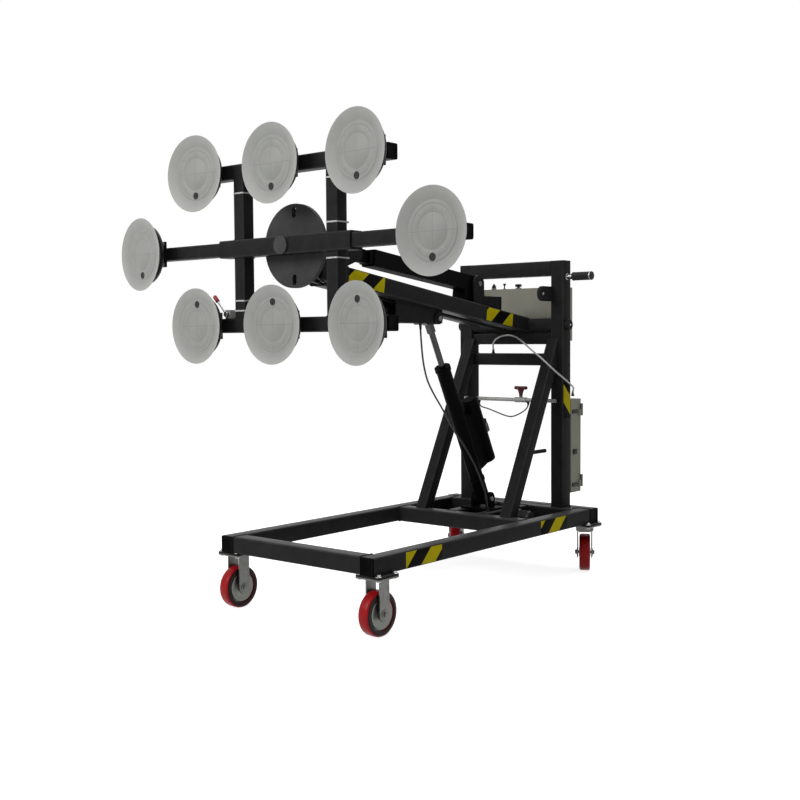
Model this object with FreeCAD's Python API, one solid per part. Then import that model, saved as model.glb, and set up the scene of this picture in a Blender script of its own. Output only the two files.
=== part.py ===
"""Vacuum glass panel lifter on a caster trolley, in millimetres.

X runs across the trolley, +Y to the rear, +Z up. The origin is the centre of the base on the floor.
"""
import FreeCAD
import Part
import math
import os

# Fits and gaps
running_fit = 0.05
body_gap = 0.3
side_gap = 0.5
weld_overlap = 1.0

# Base frame
tube = 60.0
tube_wall = 3.0
base_width = 720.0
base_length = 1390.0
deck_front = 217.0
deck_thickness = 5.0
deck_side_gap = 1.0
foot_rail_tube = 50.0
foot_rail_x = 73.0

# Casters
wheel_diameter = 150.0
wheel_width = 44.0
wheel_shoulder = 6.0
rim_diameter = 112.0
rim_width = 40.0
rim_depth = 9.0
web_width = 30.0
hub_diameter = 42.0
hub_width = 46.0
axle_diameter = 12.0
axle_overhang = 9.0
caster_height = 195.0
caster_plate = 100.0
caster_plate_thickness = 5.0
caster_pad_thickness = 8.0
caster_setback = 50.0
fork_clearance = 4.0
fork_leg_thickness = 5.0
fork_leg_top = 46.0
fork_leg_foot = 48.0
swivel_turn = 30.7
swivel_trail = 45.0
race_diameter = 72.0
race_height = 10.0
kingpin_diameter = 18.0
crown_thickness = 8.0
crown_front = 26.0
brake_pivot_reach = 33.0
brake_pivot_rise = 83.0
brake_pin_diameter = 8.0
brake_sleeve_diameter = 14.0
brake_ear_radius = 9.0
pedal_reach = 54.0
pedal_thickness = 5.0
pedal_side_gap = 2.0

# Mast
post_x = 230.5
post_y = 620.0
mast_top = 1269.5
upper_cross_tube = 45.0
upper_cross_z = 953.0
lower_cross_tube = 50.0
lower_cross_z = 868.0
brace_tube = 50.0
brace_x = 209.5
brace_foot_y = 272.5
brace_top_z = 900.0
lug_thickness = 10.0
lug_reach = 100.0
lug_height = 60.0
lug_z = 1135.0
lug_bolt_diameter = 16.0
peg_diameter = 16.0
peg_z = 500.0
peg_end_y = 535.0
handle_z = 1204.0
handle_stub_length = 27.5
handle_stub_diameter = 22.0
handle_grip_length = 91.0
handle_grip_diameter = 35.0

# Hose rail and its valve
rail_diameter = 16.0
rail_length = 460.0
rail_z = 700.0
valve_x = 61.0
valve_body_diameter = 22.0
valve_body_length = 56.0
valve_neck_diameter = 16.0
valve_neck_height = 14.0
valve_stem_diameter = 10.0
valve_stem_depth = 5.0
valve_grip_rise = 50.0
valve_grip_diameter = 15.0
valve_grip_length = 60.0

# Control box and controls
box_width = 430.0
box_depth = 85.0
box_bottom = 947.0
box_height = 218.0
box_wall = 2.0
control_setback = 50.0
joystick_inset = 58.0
joystick_ball = 16.0
joystick_stem = 8.0
joystick_height = 14.0
joystick_knob = 10.0
toggle_inset = 113.0
toggle_ball = 8.0
toggle_stem = 5.0
toggle_height = 17.0
toggle_knob = 11.0
seat_rim = 3.0
stop_x = -30.0
stop_boss_diameter = 24.0
stop_boss_height = 6.0
stop_stem_diameter = 12.0
stop_cap_diameter = 28.0
stop_cap_height = 11.0
stop_travel = 4.0

# Equipment cabinet
cabinet_inner_x = 165.0
cabinet_outer_x = 260.5
cabinet_depth = 74.0
cabinet_bottom = 320.0
cabinet_height = 385.0
cabinet_wall = 2.0
door_thickness = 3.0
hinge_offset = 6.0
hinge_knuckle = 9.0
hinge_pin = 5.0
hinge_length = 50.0
hinge_setback = 45.0
hinge_leaf = 3.0
hinge_leaf_reach = 16.0

# Vacuum pump
pump_x = 160.0
pump_y = 430.0
pump_length = 100.0
pump_depth = 60.0
pump_foot = 10.0
pump_motor_diameter = 46.0
pump_head_share = 0.35
pump_head_height = 56.0

# Boom
boom_pivot_z = 1009.5
boom_rise = 8.3
boom_tube = 60.0
boom_wall = 3.0
boom_x = 55.0
boom_length = 1138.0
pivot_tube_diameter = 57.0
pivot_shaft_diameter = 30.0
pivot_shaft_overhang = 14.5
nose_plate = 8.0
nose_lug_inner = 27.0
nose_lug_thickness = 12.0
nose_lug_radius = 28.0
head_pivot_reach = 44.4
head_pin_diameter = 24.0
head_pin_overhang = 8.0

# Lift bracket and lift actuator
bracket_plate_outer = 50.0
bracket_plate_thickness = 8.0
bracket_front_reach = 238.0
bracket_rear_reach = 30.0
bracket_drop = 18.0
bracket_web = 6.0
bracket_web_share = 0.7
lift_pin_reach = 582.0
lift_pin_drop = 61.0
lift_pin_diameter = 20.0
lift_boss_diameter = 45.0
lift_boss_inner = 14.0
lift_boss_outer = 58.0
foot_pin_y = 395.0
foot_pin_rise = 42.0
foot_pin_diameter = 20.0
foot_plate_width = 150.0
foot_plate_length = 100.0
foot_plate_thickness = 8.0
foot_ear_inner = 32.0
foot_ear_thickness = 8.0
foot_ear_radius = 28.0
pin_overhang = 6.0
barrel_diameter = 57.0
barrel_bore = 44.0
barrel_length = 606.0
barrel_foot_length = 80.0
barrel_eye_radius = 26.0
barrel_gland = 26.0
rod_diameter = 24.0
rod_start = 250.0
rod_neck = 60.0
rod_eye_half = 12.0
rod_eye_radius = 27.0
rod_eye_play = 9.0
motor_offset = 93.0
motor_diameter = 74.0
motor_start = 130.0
motor_length = 272.0
motor_nose_length = 8.0
motor_nose_share = 0.7
gear_case_length = 236.0
gear_case_width = 50.0

# Tilt tower and tilt actuator
tilt_pin_reach = 335.3
tilt_pin_rise = 116.3
tilt_pin_diameter = 20.0
tower_plate_width = 67.0
tower_boss_diameter = 38.0
tower_block_length = 120.0
tower_block_drop = 48.0
tower_block_wall = 4.0
tilt_tube = 60.0
tilt_bore = 51.0
tilt_tail = 40.0
tilt_front = 610.0
tilt_solid = 45.0
tilt_motor_width = 60.0
tilt_motor_start = -20.0
tilt_motor_length = 85.0
tilt_motor_depth = 46.0
ram_tube = 50.0
ram_wall = 6.0
ram_start = 60.0
ram_neck_length = 66.0
ram_neck_half = 12.0
ram_eye_radius = 24.0

# Head
yoke_inner = 13.0
yoke_thickness = 10.0
yoke_pivot_radius = 30.0
yoke_boss_radius = 26.0
yoke_ear_radius = 26.0
ear_back = 165.0
ear_rise = 77.0
flange_diameter = 250.0
flange_thickness = 12.0
flange_reach = 109.7
rack_axis_rise = 88.4
yoke_height_share = 0.62
head_shaft_diameter = 30.0
head_shaft_end_gap = 2.0
plunger_diameter = 16.0
plunger_radius = 112.0
plunger_length = 48.0
plunger_knob_diameter = 26.0
plunger_knob_length = 14.0
plunger_housing_diameter = 24.0
plunger_housing_length = 16.0

# Rack
disc_diameter = 280.0
disc_thickness = 15.0
disc_slot_width = 18.6
disc_slot_length = 36.0
hub_boss_diameter = 60.0
hub_boss_lip = 7.0
hub_cap = 5.0
arm_tube = 47.0
arm_wall = 4.0
arm_play = 0.5
sleeve_wall = 6.0
sleeve_half = 305.0
upright_tube = 50.0
upright_x = 217.0
rack_wall = 3.0
bar_half = 450.0
row_rise = 262.4
column_x = 376.0
arm_cup_x = 669.0
arm_inner_end = 175.0
arm_outer_end = 742.0

# Cup brackets and cups
mount_plate_width = 144.0
mount_plate_height = 92.0
mount_plate_thickness = 6.0
socket_diameter = 40.0
socket_height = 14.0
ball_diameter = 26.0
stud_diameter = 14.0
cup_disc_diameter = 214.0
cup_disc_thickness = 6.0
cup_disc_standoff = 32.0
pad_diameter = 200.0
pad_base = 10.0
pad_floor = 14.0
lip_diameter = 262.0
lip_depth = 24.0
lip_edge = 3.0
lip_root = 8.0
port_diameter = 22.0
port_radius = 75.0
nipple_diameter = 12.0
nipple_bore = 6.0
nipple_length = 14.0
cup_turns = {"top_left": -3.0, "top_middle": 1.0, "top_right": 4.0, "left": 7.0,
             "right": 0.0, "bottom_left": 2.0, "bottom_middle": 0.0, "bottom_right": 7.0}

# Rack plumbing
hose_diameter = 8.0
hose_tee = 16.0
release_x = -285.0
release_body_width = 26.0
release_body_height = 30.0
release_pin_diameter = 8.0
release_pin_length = 12.0
release_hub_diameter = 18.0
release_hub_length = 10.0
release_lean = 43.0
release_length = 88.0
release_rod_diameter = 7.0
release_grip_diameter = 15.0
release_grip_length = 26.0

# Cords
vacuum_hose_diameter = 7.0
slack_cable_diameter = 6.0
lift_cable_diameter = 7.0
hose_port_x = -95.0
hose_port_inset = 6.0
hose_gland_inset = 15.5
hose_gland_setback = 40.0
hose_gland_height = 12.0
slack_start_x = -152.0
slack_end_x = 97.0
cable_x = 30.0
cable_setback = 80.0
cable_foot_x = 73.0
cable_foot_gap = 19.0
bend_share = 0.45
vacuum_hose_points = [(-95, 606, 893.3), (-95, 606, 909), (-92, 598, 925), (-82, 590, 943), (-58, 585, 959),
                      (-25, 580, 968), (15, 573, 970), (55, 565, 960), (95, 555, 936), (140, 541, 908),
                      (190, 527, 881), (238, 512, 851), (258, 540, 820), (274, 575, 793), (281, 610, 769.5),
                      (276.5, 640, 757), (266, 664, 750), (253.5, 680, 744.5), (246.5, 688, 733),
                      (245, 690, 717)]
slack_cable_points = [(-152, 582, 691.7), (-152, 582, 677), (-140, 578, 665.5), (-105, 574, 660),
                      (-60, 571.5, 647), (-10, 570, 632), (22, 570, 628), (50, 571, 637), (74, 574.5, 650),
                      (91, 579.5, 664), (97, 582, 678), (97, 582, 691.7)]
lift_cable_points = [(30, -45, 1013), (30, -43, 975), (30, -38, 930), (30, -32, 885), (31, -24, 845),
                     (32, -6, 795), (33, 31, 745), (34, 73, 698), (34, 114, 650), (36, 150, 600),
                     (39, 200, 552), (43, 243, 500), (50, 277, 447), (58, 300, 395), (66, 318, 345),
                     (71, 324, 302), (73, 326, 266)]

# Derived positions
half_tube = tube / 2
base_bottom = caster_height + caster_pad_thickness
base_top = base_bottom + tube
deck_top = base_bottom + deck_thickness
rail_x = base_width / 2 - half_tube
rail_inner = base_width / 2 - tube
front_end = -base_length / 2
rear_end = base_length / 2
caster_y = rear_end - caster_setback
axle_z = wheel_diameter / 2
post_inner = post_x - half_tube
post_outer = post_x + half_tube
post_front = post_y - half_tube
post_rear = post_y + half_tube
joystick_x = -box_width / 2 + joystick_inset
toggle_x = -box_width / 2 + toggle_inset
boom_slope = math.tan(math.radians(boom_rise))
boom_cos = math.cos(math.radians(boom_rise))
boom_gap_half = boom_x - boom_tube / 2
boom_outer = boom_x + boom_tube / 2


def slant_point(origin, rise, reach, lift):
    """Point (y, z) at a reach along a forward axis that rises, and a lift square to it."""
    angle = math.radians(rise)
    y = origin[0] - reach * math.cos(angle) + lift * math.sin(angle)
    z = origin[1] + reach * math.sin(angle) + lift * math.cos(angle)
    return y, z


boom_pivot = (post_y, boom_pivot_z)
head_pivot = slant_point(boom_pivot, boom_rise, boom_length + head_pivot_reach, 0)
lift_pin = slant_point(boom_pivot, boom_rise, lift_pin_reach, -lift_pin_drop)
foot_pin = (foot_pin_y, base_top + foot_pin_rise)
lift_length = math.hypot(foot_pin[0] - lift_pin[0], lift_pin[1] - foot_pin[1])
lift_rise = math.degrees(math.atan2(lift_pin[1] - foot_pin[1], foot_pin[0] - lift_pin[0]))
tilt_pin = slant_point(boom_pivot, boom_rise, tilt_pin_reach, tilt_pin_rise)
head_ear = (head_pivot[0] + ear_back, head_pivot[1] + ear_rise)
tilt_length = math.hypot(tilt_pin[0] - head_ear[0], head_ear[1] - tilt_pin[1])
tilt_rise = math.degrees(math.atan2(head_ear[1] - tilt_pin[1], tilt_pin[0] - head_ear[0]))
flange_front = head_pivot[0] - flange_reach
rack_z = head_pivot[1] + rack_axis_rise
disc_rear = flange_front - body_gap
disc_front = disc_rear - disc_thickness
sleeve_tube = arm_tube + 2 * arm_play + 2 * sleeve_wall
rack_y = disc_front - sleeve_tube / 2
bar_front = disc_front - upright_tube
arm_front = rack_y - arm_tube / 2
hose_y = disc_front + hose_diameter / 2 + body_gap
cup_places = {"top_left": (-column_x, bar_front, rack_z + row_rise),
              "top_middle": (0, bar_front, rack_z + row_rise),
              "top_right": (column_x, bar_front, rack_z + row_rise),
              "left": (-arm_cup_x, arm_front, rack_z),
              "right": (arm_cup_x, arm_front, rack_z),
              "bottom_left": (-column_x, bar_front, rack_z - row_rise),
              "bottom_middle": (0, bar_front, rack_z - row_rise),
              "bottom_right": (column_x, bar_front, rack_z - row_rise)}
ball_standoff = mount_plate_thickness + socket_height
control_y = post_rear + control_setback
box_top = box_bottom + box_height
cabinet_rear = post_rear + cabinet_depth
hinge_x = cabinet_outer_x + hinge_offset
hinge_y = cabinet_rear + side_gap + door_thickness
rail_y = post_front - rail_diameter / 2
valve_seat = rail_z + valve_neck_height
release_z = rack_z - row_rise + upright_tube / 2 + release_body_height / 2
release_y = rack_y
crown_top = caster_height - caster_plate_thickness - race_height - body_gap
brake_y = swivel_trail + brake_pivot_reach
brake_z = axle_z + brake_pivot_rise
fork_inner = wheel_width / 2 + fork_clearance
fork_outer = fork_inner + fork_leg_thickness


def vec(x, y, z):
    return FreeCAD.Vector(x, y, z)


def block(x0, x1, y0, y1, z0, z1):
    return Part.makeBox(x1 - x0, y1 - y0, z1 - z0, vec(x0, y0, z0))


def x_rod(x0, x1, centre, diameter):
    return Part.makeCylinder(diameter / 2, x1 - x0, vec(x0, centre[0], centre[1]), vec(1, 0, 0))


def y_rod(x, y0, y1, z, diameter):
    return Part.makeCylinder(diameter / 2, y1 - y0, vec(x, y0, z), vec(0, 1, 0))


def z_rod(x, y, z0, z1, diameter):
    return Part.makeCylinder(diameter / 2, z1 - z0, vec(x, y, z0), vec(0, 0, 1))


def x_plate(points, x0, x1):
    """Flat plate drawn in Y and Z and given its thickness along X."""
    outline = [vec(x0, y, z) for y, z in points]
    outline.append(outline[0])
    return Part.Face(Part.makePolygon(outline)).extrude(vec(x1 - x0, 0, 0))


def x_tube(x0, x1, y, z, size, wall):
    outer = block(x0, x1, y - size / 2, y + size / 2, z - size / 2, z + size / 2)
    core = size / 2 - wall
    return outer.cut(block(x0, x1, y - core, y + core, z - core, z + core))


def y_tube(y0, y1, x, z, size, wall):
    outer = block(x - size / 2, x + size / 2, y0, y1, z - size / 2, z + size / 2)
    core = size / 2 - wall
    return outer.cut(block(x - core, x + core, y0, y1, z - core, z + core))


def z_tube(z0, z1, x, y, size, wall):
    outer = block(x - size / 2, x + size / 2, y - size / 2, y + size / 2, z0, z1)
    core = size / 2 - wall
    return outer.cut(block(x - core, x + core, y - core, y + core, z0, z1))


def slanted(shape, origin, rise):
    """Turn a shape drawn along -Y so that it rises to the front, and put it on its origin."""
    turned = shape.copy()
    turned.rotate(vec(0, 0, 0), vec(1, 0, 0), -rise)
    turned.translate(vec(0, origin[0], origin[1]))
    return turned


def slant_block(origin, rise, x0, x1, reach0, reach1, lift0, lift1):
    return slanted(block(x0, x1, -reach1, -reach0, lift0, lift1), origin, rise)


def slant_rod(origin, rise, reach0, reach1, lift, diameter):
    return slanted(y_rod(0, -reach1, -reach0, lift, diameter), origin, rise)


def turned_about_x(profile):
    """Solid of revolution about X from (x, radius) points."""
    outline = [vec(x, radius, 0) for x, radius in profile]
    outline.append(outline[0])
    return Part.Face(Part.makePolygon(outline)).revolve(vec(0, 0, 0), vec(1, 0, 0), 360)


def turned_about_y(profile):
    """Solid of revolution about Y from (radius, y) points."""
    outline = [vec(radius, y, 0) for radius, y in profile]
    outline.append(outline[0])
    return Part.Face(Part.makePolygon(outline)).revolve(vec(0, 0, 0), vec(0, 1, 0), 360)


def mirrored(shape):
    return shape.mirror(vec(0, 0, 0), vec(1, 0, 0))


def fused(first, *others):
    whole = first
    for other in others:
        whole = whole.fuse(other)
    return whole.removeSplitter()


def both_sides(shape):
    return [shape, mirrored(shape)]


def save(name, *shapes):
    shape = shapes[0] if len(shapes) == 1 else Part.makeCompound(list(shapes))
    shape.exportStep("parts/" + name + ".step")


def boom_top_z(y):
    return boom_pivot_z + (post_y - y) * boom_slope + boom_tube / 2 / boom_cos


def boom_under_z(y):
    return boom_pivot_z + (post_y - y) * boom_slope - boom_tube / 2 / boom_cos


def build_base():
    rails = []
    for x in (-rail_x, rail_x):
        rails.append(y_tube(front_end, rear_end - tube, x, base_bottom + half_tube, tube, tube_wall))
        for y in (-caster_y, caster_y):
            rails.append(block(x - caster_plate / 2, x + caster_plate / 2, y - caster_plate / 2,
                               y + caster_plate / 2, caster_height, base_bottom))
    for x in (-foot_rail_x, foot_rail_x):
        rails.append(y_tube(deck_front + tube, rear_end - 2 * tube, x, base_top - foot_rail_tube / 2,
                            foot_rail_tube, tube_wall))
    save("base_rails", *rails)
    z = base_bottom + half_tube
    cross = [x_tube(-base_width / 2, base_width / 2, rear_end - half_tube, z, tube, tube_wall)]
    for y in (front_end + half_tube, deck_front + half_tube, rear_end - tube - half_tube):
        cross.append(x_tube(-rail_inner, rail_inner, y, z, tube, tube_wall))
    save("base_cross_tubes", *cross)
    deck_half = rail_inner - deck_side_gap
    save("deck_plate", block(-deck_half, deck_half, deck_front + tube, rear_end - 2 * tube, base_bottom,
                             deck_top))


def build_mast():
    shaft_hole = x_rod(-post_outer, post_outer, boom_pivot, pivot_shaft_diameter + 2 * running_fit)
    posts = []
    for x in (-post_x, post_x):
        posts.append(z_tube(base_top, mast_top, x, post_y, tube, tube_wall).cut(shaft_hole))
    save("mast_posts", *posts)
    cross = [x_tube(-post_inner, post_inner, post_y, mast_top - half_tube, tube, tube_wall)]
    for size, z in ((upper_cross_tube, upper_cross_z), (lower_cross_tube, lower_cross_z)):
        cross.append(x_tube(-post_inner, post_inner, post_rear - size / 2, z, size, tube_wall))
    save("mast_cross_tubes", *cross)
    lean = math.degrees(math.atan2(brace_top_z - base_top, brace_foot_y - post_front))
    long_run = 2 * math.hypot(brace_top_z - base_top, post_front - brace_foot_y)
    half = brace_tube / 2
    core = half - tube_wall
    foot = (brace_foot_y, base_top)
    outer = slant_block(foot, lean, brace_x - half, brace_x + half, -long_run, long_run, -half, half)
    inner = slant_block(foot, lean, brace_x - core, brace_x + core, -long_run, long_run, -core, core)
    span = block(0, base_width, front_end, post_front, base_top, mast_top)
    brace = outer.cut(inner).common(span)
    save("mast_braces", *both_sides(brace))
    lug_outer = post_inner + lug_thickness
    lug_centre = (post_front - lug_reach + lug_height / 2, lug_z)
    lug_plate = block(post_inner, lug_outer, lug_centre[0], post_front, lug_z - lug_height / 2,
                      lug_z + lug_height / 2)
    lug_end = x_rod(post_inner, lug_outer, lug_centre, lug_height)
    lug_hole = x_rod(post_inner, lug_outer, lug_centre, lug_bolt_diameter)
    lug = fused(lug_plate, lug_end).cut(lug_hole)
    peg = y_rod(brace_x, brace_foot_y, peg_end_y, peg_z, peg_diameter).cut(outer)
    peg = max(peg.Solids, key=lambda solid: solid.CenterOfMass.y)
    save("mast_fittings", *both_sides(lug), peg)
    stub = x_rod(post_outer, post_outer + handle_stub_length, (post_y, handle_z), handle_stub_diameter)
    grip_start = post_outer + handle_stub_length
    grip = x_rod(grip_start, grip_start + handle_grip_length, (post_y, handle_z), handle_grip_diameter)
    save("push_handles", *both_sides(stub), *both_sides(grip))


def build_hose_rail():
    rail = x_rod(-rail_length / 2, rail_length / 2, (rail_y, rail_z), rail_diameter)
    body = x_rod(valve_x - valve_body_length / 2, valve_x + valve_body_length / 2, (rail_y, rail_z),
                 valve_body_diameter)
    neck = z_rod(valve_x, rail_y, rail_z, valve_seat, valve_neck_diameter)
    bore = z_rod(valve_x, rail_y, valve_seat - valve_stem_depth - body_gap, valve_seat,
                 valve_stem_diameter + 2 * running_fit)
    save("hose_rail", fused(rail, body, neck).cut(bore))
    grip_z = rail_z + valve_grip_rise
    stem = z_rod(valve_x, rail_y, valve_seat - valve_stem_depth, grip_z, valve_stem_diameter)
    grip = x_rod(valve_x - valve_grip_length / 2, valve_x + valve_grip_length / 2, (rail_y, grip_z),
                 valve_grip_diameter)
    save("valve_handle", fused(stem, grip))


def ball_seat(x, ball):
    seat = z_rod(x, control_y, box_top, box_top + ball / 2, ball + 2 * seat_rim)
    return seat.cut(Part.makeSphere(ball / 2 + running_fit, vec(x, control_y, box_top + ball / 2)))


def ball_lever(x, ball, stem, height, knob):
    z = box_top + ball / 2
    base = Part.makeSphere(ball / 2, vec(x, control_y, z))
    shank = z_rod(x, control_y, z, z + height, stem)
    return fused(base, shank, Part.makeSphere(knob / 2, vec(x, control_y, z + height)))


def build_controls():
    outer = block(-box_width / 2, box_width / 2, post_rear, post_rear + box_depth, box_bottom, box_top)
    inner = block(-box_width / 2 + box_wall, box_width / 2 - box_wall, post_rear + box_wall,
                  post_rear + box_depth - box_wall, box_bottom, box_top - box_wall)
    boss_top = box_top + stop_boss_height
    boss = z_rod(stop_x, control_y, box_top, boss_top, stop_boss_diameter)
    stop_bore = z_rod(stop_x, control_y, box_top - box_wall, boss_top, stop_stem_diameter + 2 * running_fit)
    seats = [ball_seat(joystick_x, joystick_ball), ball_seat(toggle_x, toggle_ball)]
    clearances = [Part.makeSphere(joystick_ball / 2 + running_fit, vec(joystick_x, control_y,
                                                                       box_top + joystick_ball / 2)),
                  Part.makeSphere(toggle_ball / 2 + running_fit, vec(toggle_x, control_y,
                                                                     box_top + toggle_ball / 2))]
    box = fused(outer.cut(inner), boss, *seats).cut(stop_bore)
    for clearance in clearances:
        box = box.cut(clearance)
    save("control_box", box)
    cap_bottom = boss_top + stop_travel + body_gap
    stem = z_rod(stop_x, control_y, box_top, cap_bottom + weld_overlap, stop_stem_diameter)
    cap = z_rod(stop_x, control_y, cap_bottom, cap_bottom + stop_cap_height, stop_cap_diameter)
    cap = cap.makeFillet(stop_cap_height / 3, [cap.Edges[0]])
    save("emergency_stop", fused(stem, cap))
    save("joystick", ball_lever(joystick_x, joystick_ball, joystick_stem, joystick_height, joystick_knob))
    save("toggle", ball_lever(toggle_x, toggle_ball, toggle_stem, toggle_height, toggle_knob))


def build_cabinet():
    top = cabinet_bottom + cabinet_height
    shell = block(cabinet_inner_x, cabinet_outer_x, post_rear, cabinet_rear, cabinet_bottom, top)
    room = block(cabinet_inner_x + cabinet_wall, cabinet_outer_x - cabinet_wall, post_rear + cabinet_wall,
                 cabinet_rear, cabinet_bottom + cabinet_wall, top - cabinet_wall)
    shell = shell.cut(room)
    door_front = cabinet_rear + side_gap
    door = block(cabinet_inner_x, cabinet_outer_x, door_front, hinge_y, cabinet_bottom, top)
    for z in (cabinet_bottom + hinge_setback, top - hinge_setback):
        low = z - hinge_length / 2
        high = z + hinge_length / 2
        pin = z_rod(hinge_x, hinge_y, low, high, hinge_pin)
        knuckle = z_rod(hinge_x, hinge_y, low, z - side_gap, hinge_knuckle)
        leaf = block(cabinet_outer_x, hinge_x, cabinet_rear - hinge_leaf_reach, cabinet_rear - hinge_leaf,
                     low, z - side_gap)
        arm = block(hinge_x - hinge_leaf, hinge_x, cabinet_rear - hinge_leaf_reach, hinge_y, low,
                    z - side_gap)
        shell = fused(shell, leaf, arm, knuckle, pin)
        collar = z_rod(hinge_x, hinge_y, z, high, hinge_knuckle)
        strap = block(cabinet_outer_x - hinge_leaf_reach, hinge_x, hinge_y, hinge_y + hinge_leaf, z, high)
        bore = z_rod(hinge_x, hinge_y, z, high, hinge_pin + 2 * running_fit)
        door = fused(door, collar, strap).cut(bore)
    save("equipment_cabinet", shell)
    save("cabinet_door", door)


def build_pump():
    x0 = pump_x - pump_length / 2
    x1 = pump_x + pump_length / 2
    head_end = x0 + pump_length * pump_head_share
    foot = block(x0, x1, pump_y - pump_depth / 2, pump_y + pump_depth / 2, deck_top, deck_top + pump_foot)
    head = block(x0, head_end, pump_y - pump_depth / 2, pump_y + pump_depth / 2, deck_top,
                 deck_top + pump_head_height)
    axis = (pump_y, deck_top + pump_foot + pump_motor_diameter / 2 - weld_overlap)
    save("vacuum_pump", fused(foot, head, x_rod(head_end - weld_overlap, x1, axis, pump_motor_diameter)))


def build_boom():
    pivot_round = x_rod(-post_outer, post_outer, boom_pivot, pivot_tube_diameter)
    outer = slant_block(boom_pivot, boom_rise, boom_gap_half, boom_outer, boom_tube / 4, boom_length,
                        -boom_tube / 2, boom_tube / 2)
    core = boom_tube / 2 - boom_wall
    inner = slant_block(boom_pivot, boom_rise, boom_x - core, boom_x + core, 0, boom_length, -core, core)
    save("boom_tubes", *both_sides(outer.cut(inner).cut(pivot_round)))
    pivot_half = post_inner - side_gap
    pivot = x_rod(-pivot_half, pivot_half, boom_pivot, pivot_tube_diameter)
    bore = x_rod(-pivot_half, pivot_half, boom_pivot, pivot_shaft_diameter + 2 * running_fit)
    save("boom_pivot_tube", pivot.cut(bore))
    lug_outer = nose_lug_inner + nose_lug_thickness
    end_plate = slant_block(boom_pivot, boom_rise, boom_gap_half, boom_outer, boom_length,
                            boom_length + nose_plate, -boom_tube / 2, boom_tube / 2)
    lug = slant_block(boom_pivot, boom_rise, nose_lug_inner, lug_outer, boom_length,
                      boom_length + head_pivot_reach, -nose_lug_radius, nose_lug_radius)
    lug_end = x_rod(nose_lug_inner, lug_outer, head_pivot, 2 * nose_lug_radius)
    pin_hole = x_rod(0, boom_outer, head_pivot, head_pin_diameter)
    save("boom_nose", *both_sides(fused(end_plate, lug, lug_end).cut(pin_hole)))
    head_half = lug_outer + head_pin_overhang
    lift_half = lift_boss_outer + pin_overhang
    tower_half = bracket_plate_outer + pin_overhang
    save("boom_pins", x_rod(-head_half, head_half, head_pivot, head_pin_diameter),
         x_rod(-lift_half, lift_half, lift_pin, lift_pin_diameter),
         x_rod(-tower_half, tower_half, tilt_pin, tilt_pin_diameter))


def build_lift_bracket():
    inner = bracket_plate_outer - bracket_plate_thickness
    front = lift_pin[0] - bracket_front_reach
    rear = lift_pin[0] + bracket_rear_reach
    bottom = lift_pin[1] - bracket_drop
    outline = [(front, boom_under_z(front)), (front, bottom), (rear, bottom), (rear, boom_under_z(rear))]
    plate = x_plate(outline, inner, bracket_plate_outer)
    boss = x_rod(lift_boss_inner, lift_boss_outer, lift_pin, lift_boss_diameter)
    web_rear = front + bracket_front_reach * bracket_web_share
    web = block(-inner, inner, front, web_rear, bottom, bottom + bracket_web)
    pin_hole = x_rod(-lift_boss_outer, lift_boss_outer, lift_pin, lift_pin_diameter)
    save("lift_bracket", fused(web, *both_sides(fused(plate, boss))).cut(pin_hole))


def build_tilt_tower():
    inner = bracket_plate_outer - bracket_plate_thickness
    half = tower_plate_width / 2
    front = tilt_pin[0] - half
    rear = tilt_pin[0] + half
    outline = [(front, boom_top_z(front)), (rear, boom_top_z(rear)), (rear, tilt_pin[1]),
               (front, tilt_pin[1])]
    plate = fused(x_plate(outline, inner, bracket_plate_outer),
                  x_rod(inner, bracket_plate_outer, tilt_pin, tower_plate_width),
                  x_rod(tilt_tube / 2 + side_gap, inner, tilt_pin, tower_boss_diameter))
    pin_hole = x_rod(-bracket_plate_outer, bracket_plate_outer, tilt_pin, tilt_pin_diameter)
    block_rear = rear + tower_block_length
    block_top = tilt_pin[1] - tower_block_drop
    box = x_plate([(rear, boom_top_z(rear)), (block_rear, boom_top_z(block_rear)), (block_rear, block_top),
                   (rear, block_top)], -bracket_plate_outer, bracket_plate_outer)
    room = x_plate([(rear + tower_block_wall, boom_top_z(rear + tower_block_wall)),
                    (block_rear - tower_block_wall, boom_top_z(block_rear - tower_block_wall)),
                    (block_rear - tower_block_wall, block_top - tower_block_wall),
                    (rear + tower_block_wall, block_top - tower_block_wall)],
                   -bracket_plate_outer + tower_block_wall, bracket_plate_outer - tower_block_wall)
    save("tilt_tower", fused(box.cut(room), *both_sides(plate)).cut(pin_hole))


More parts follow.
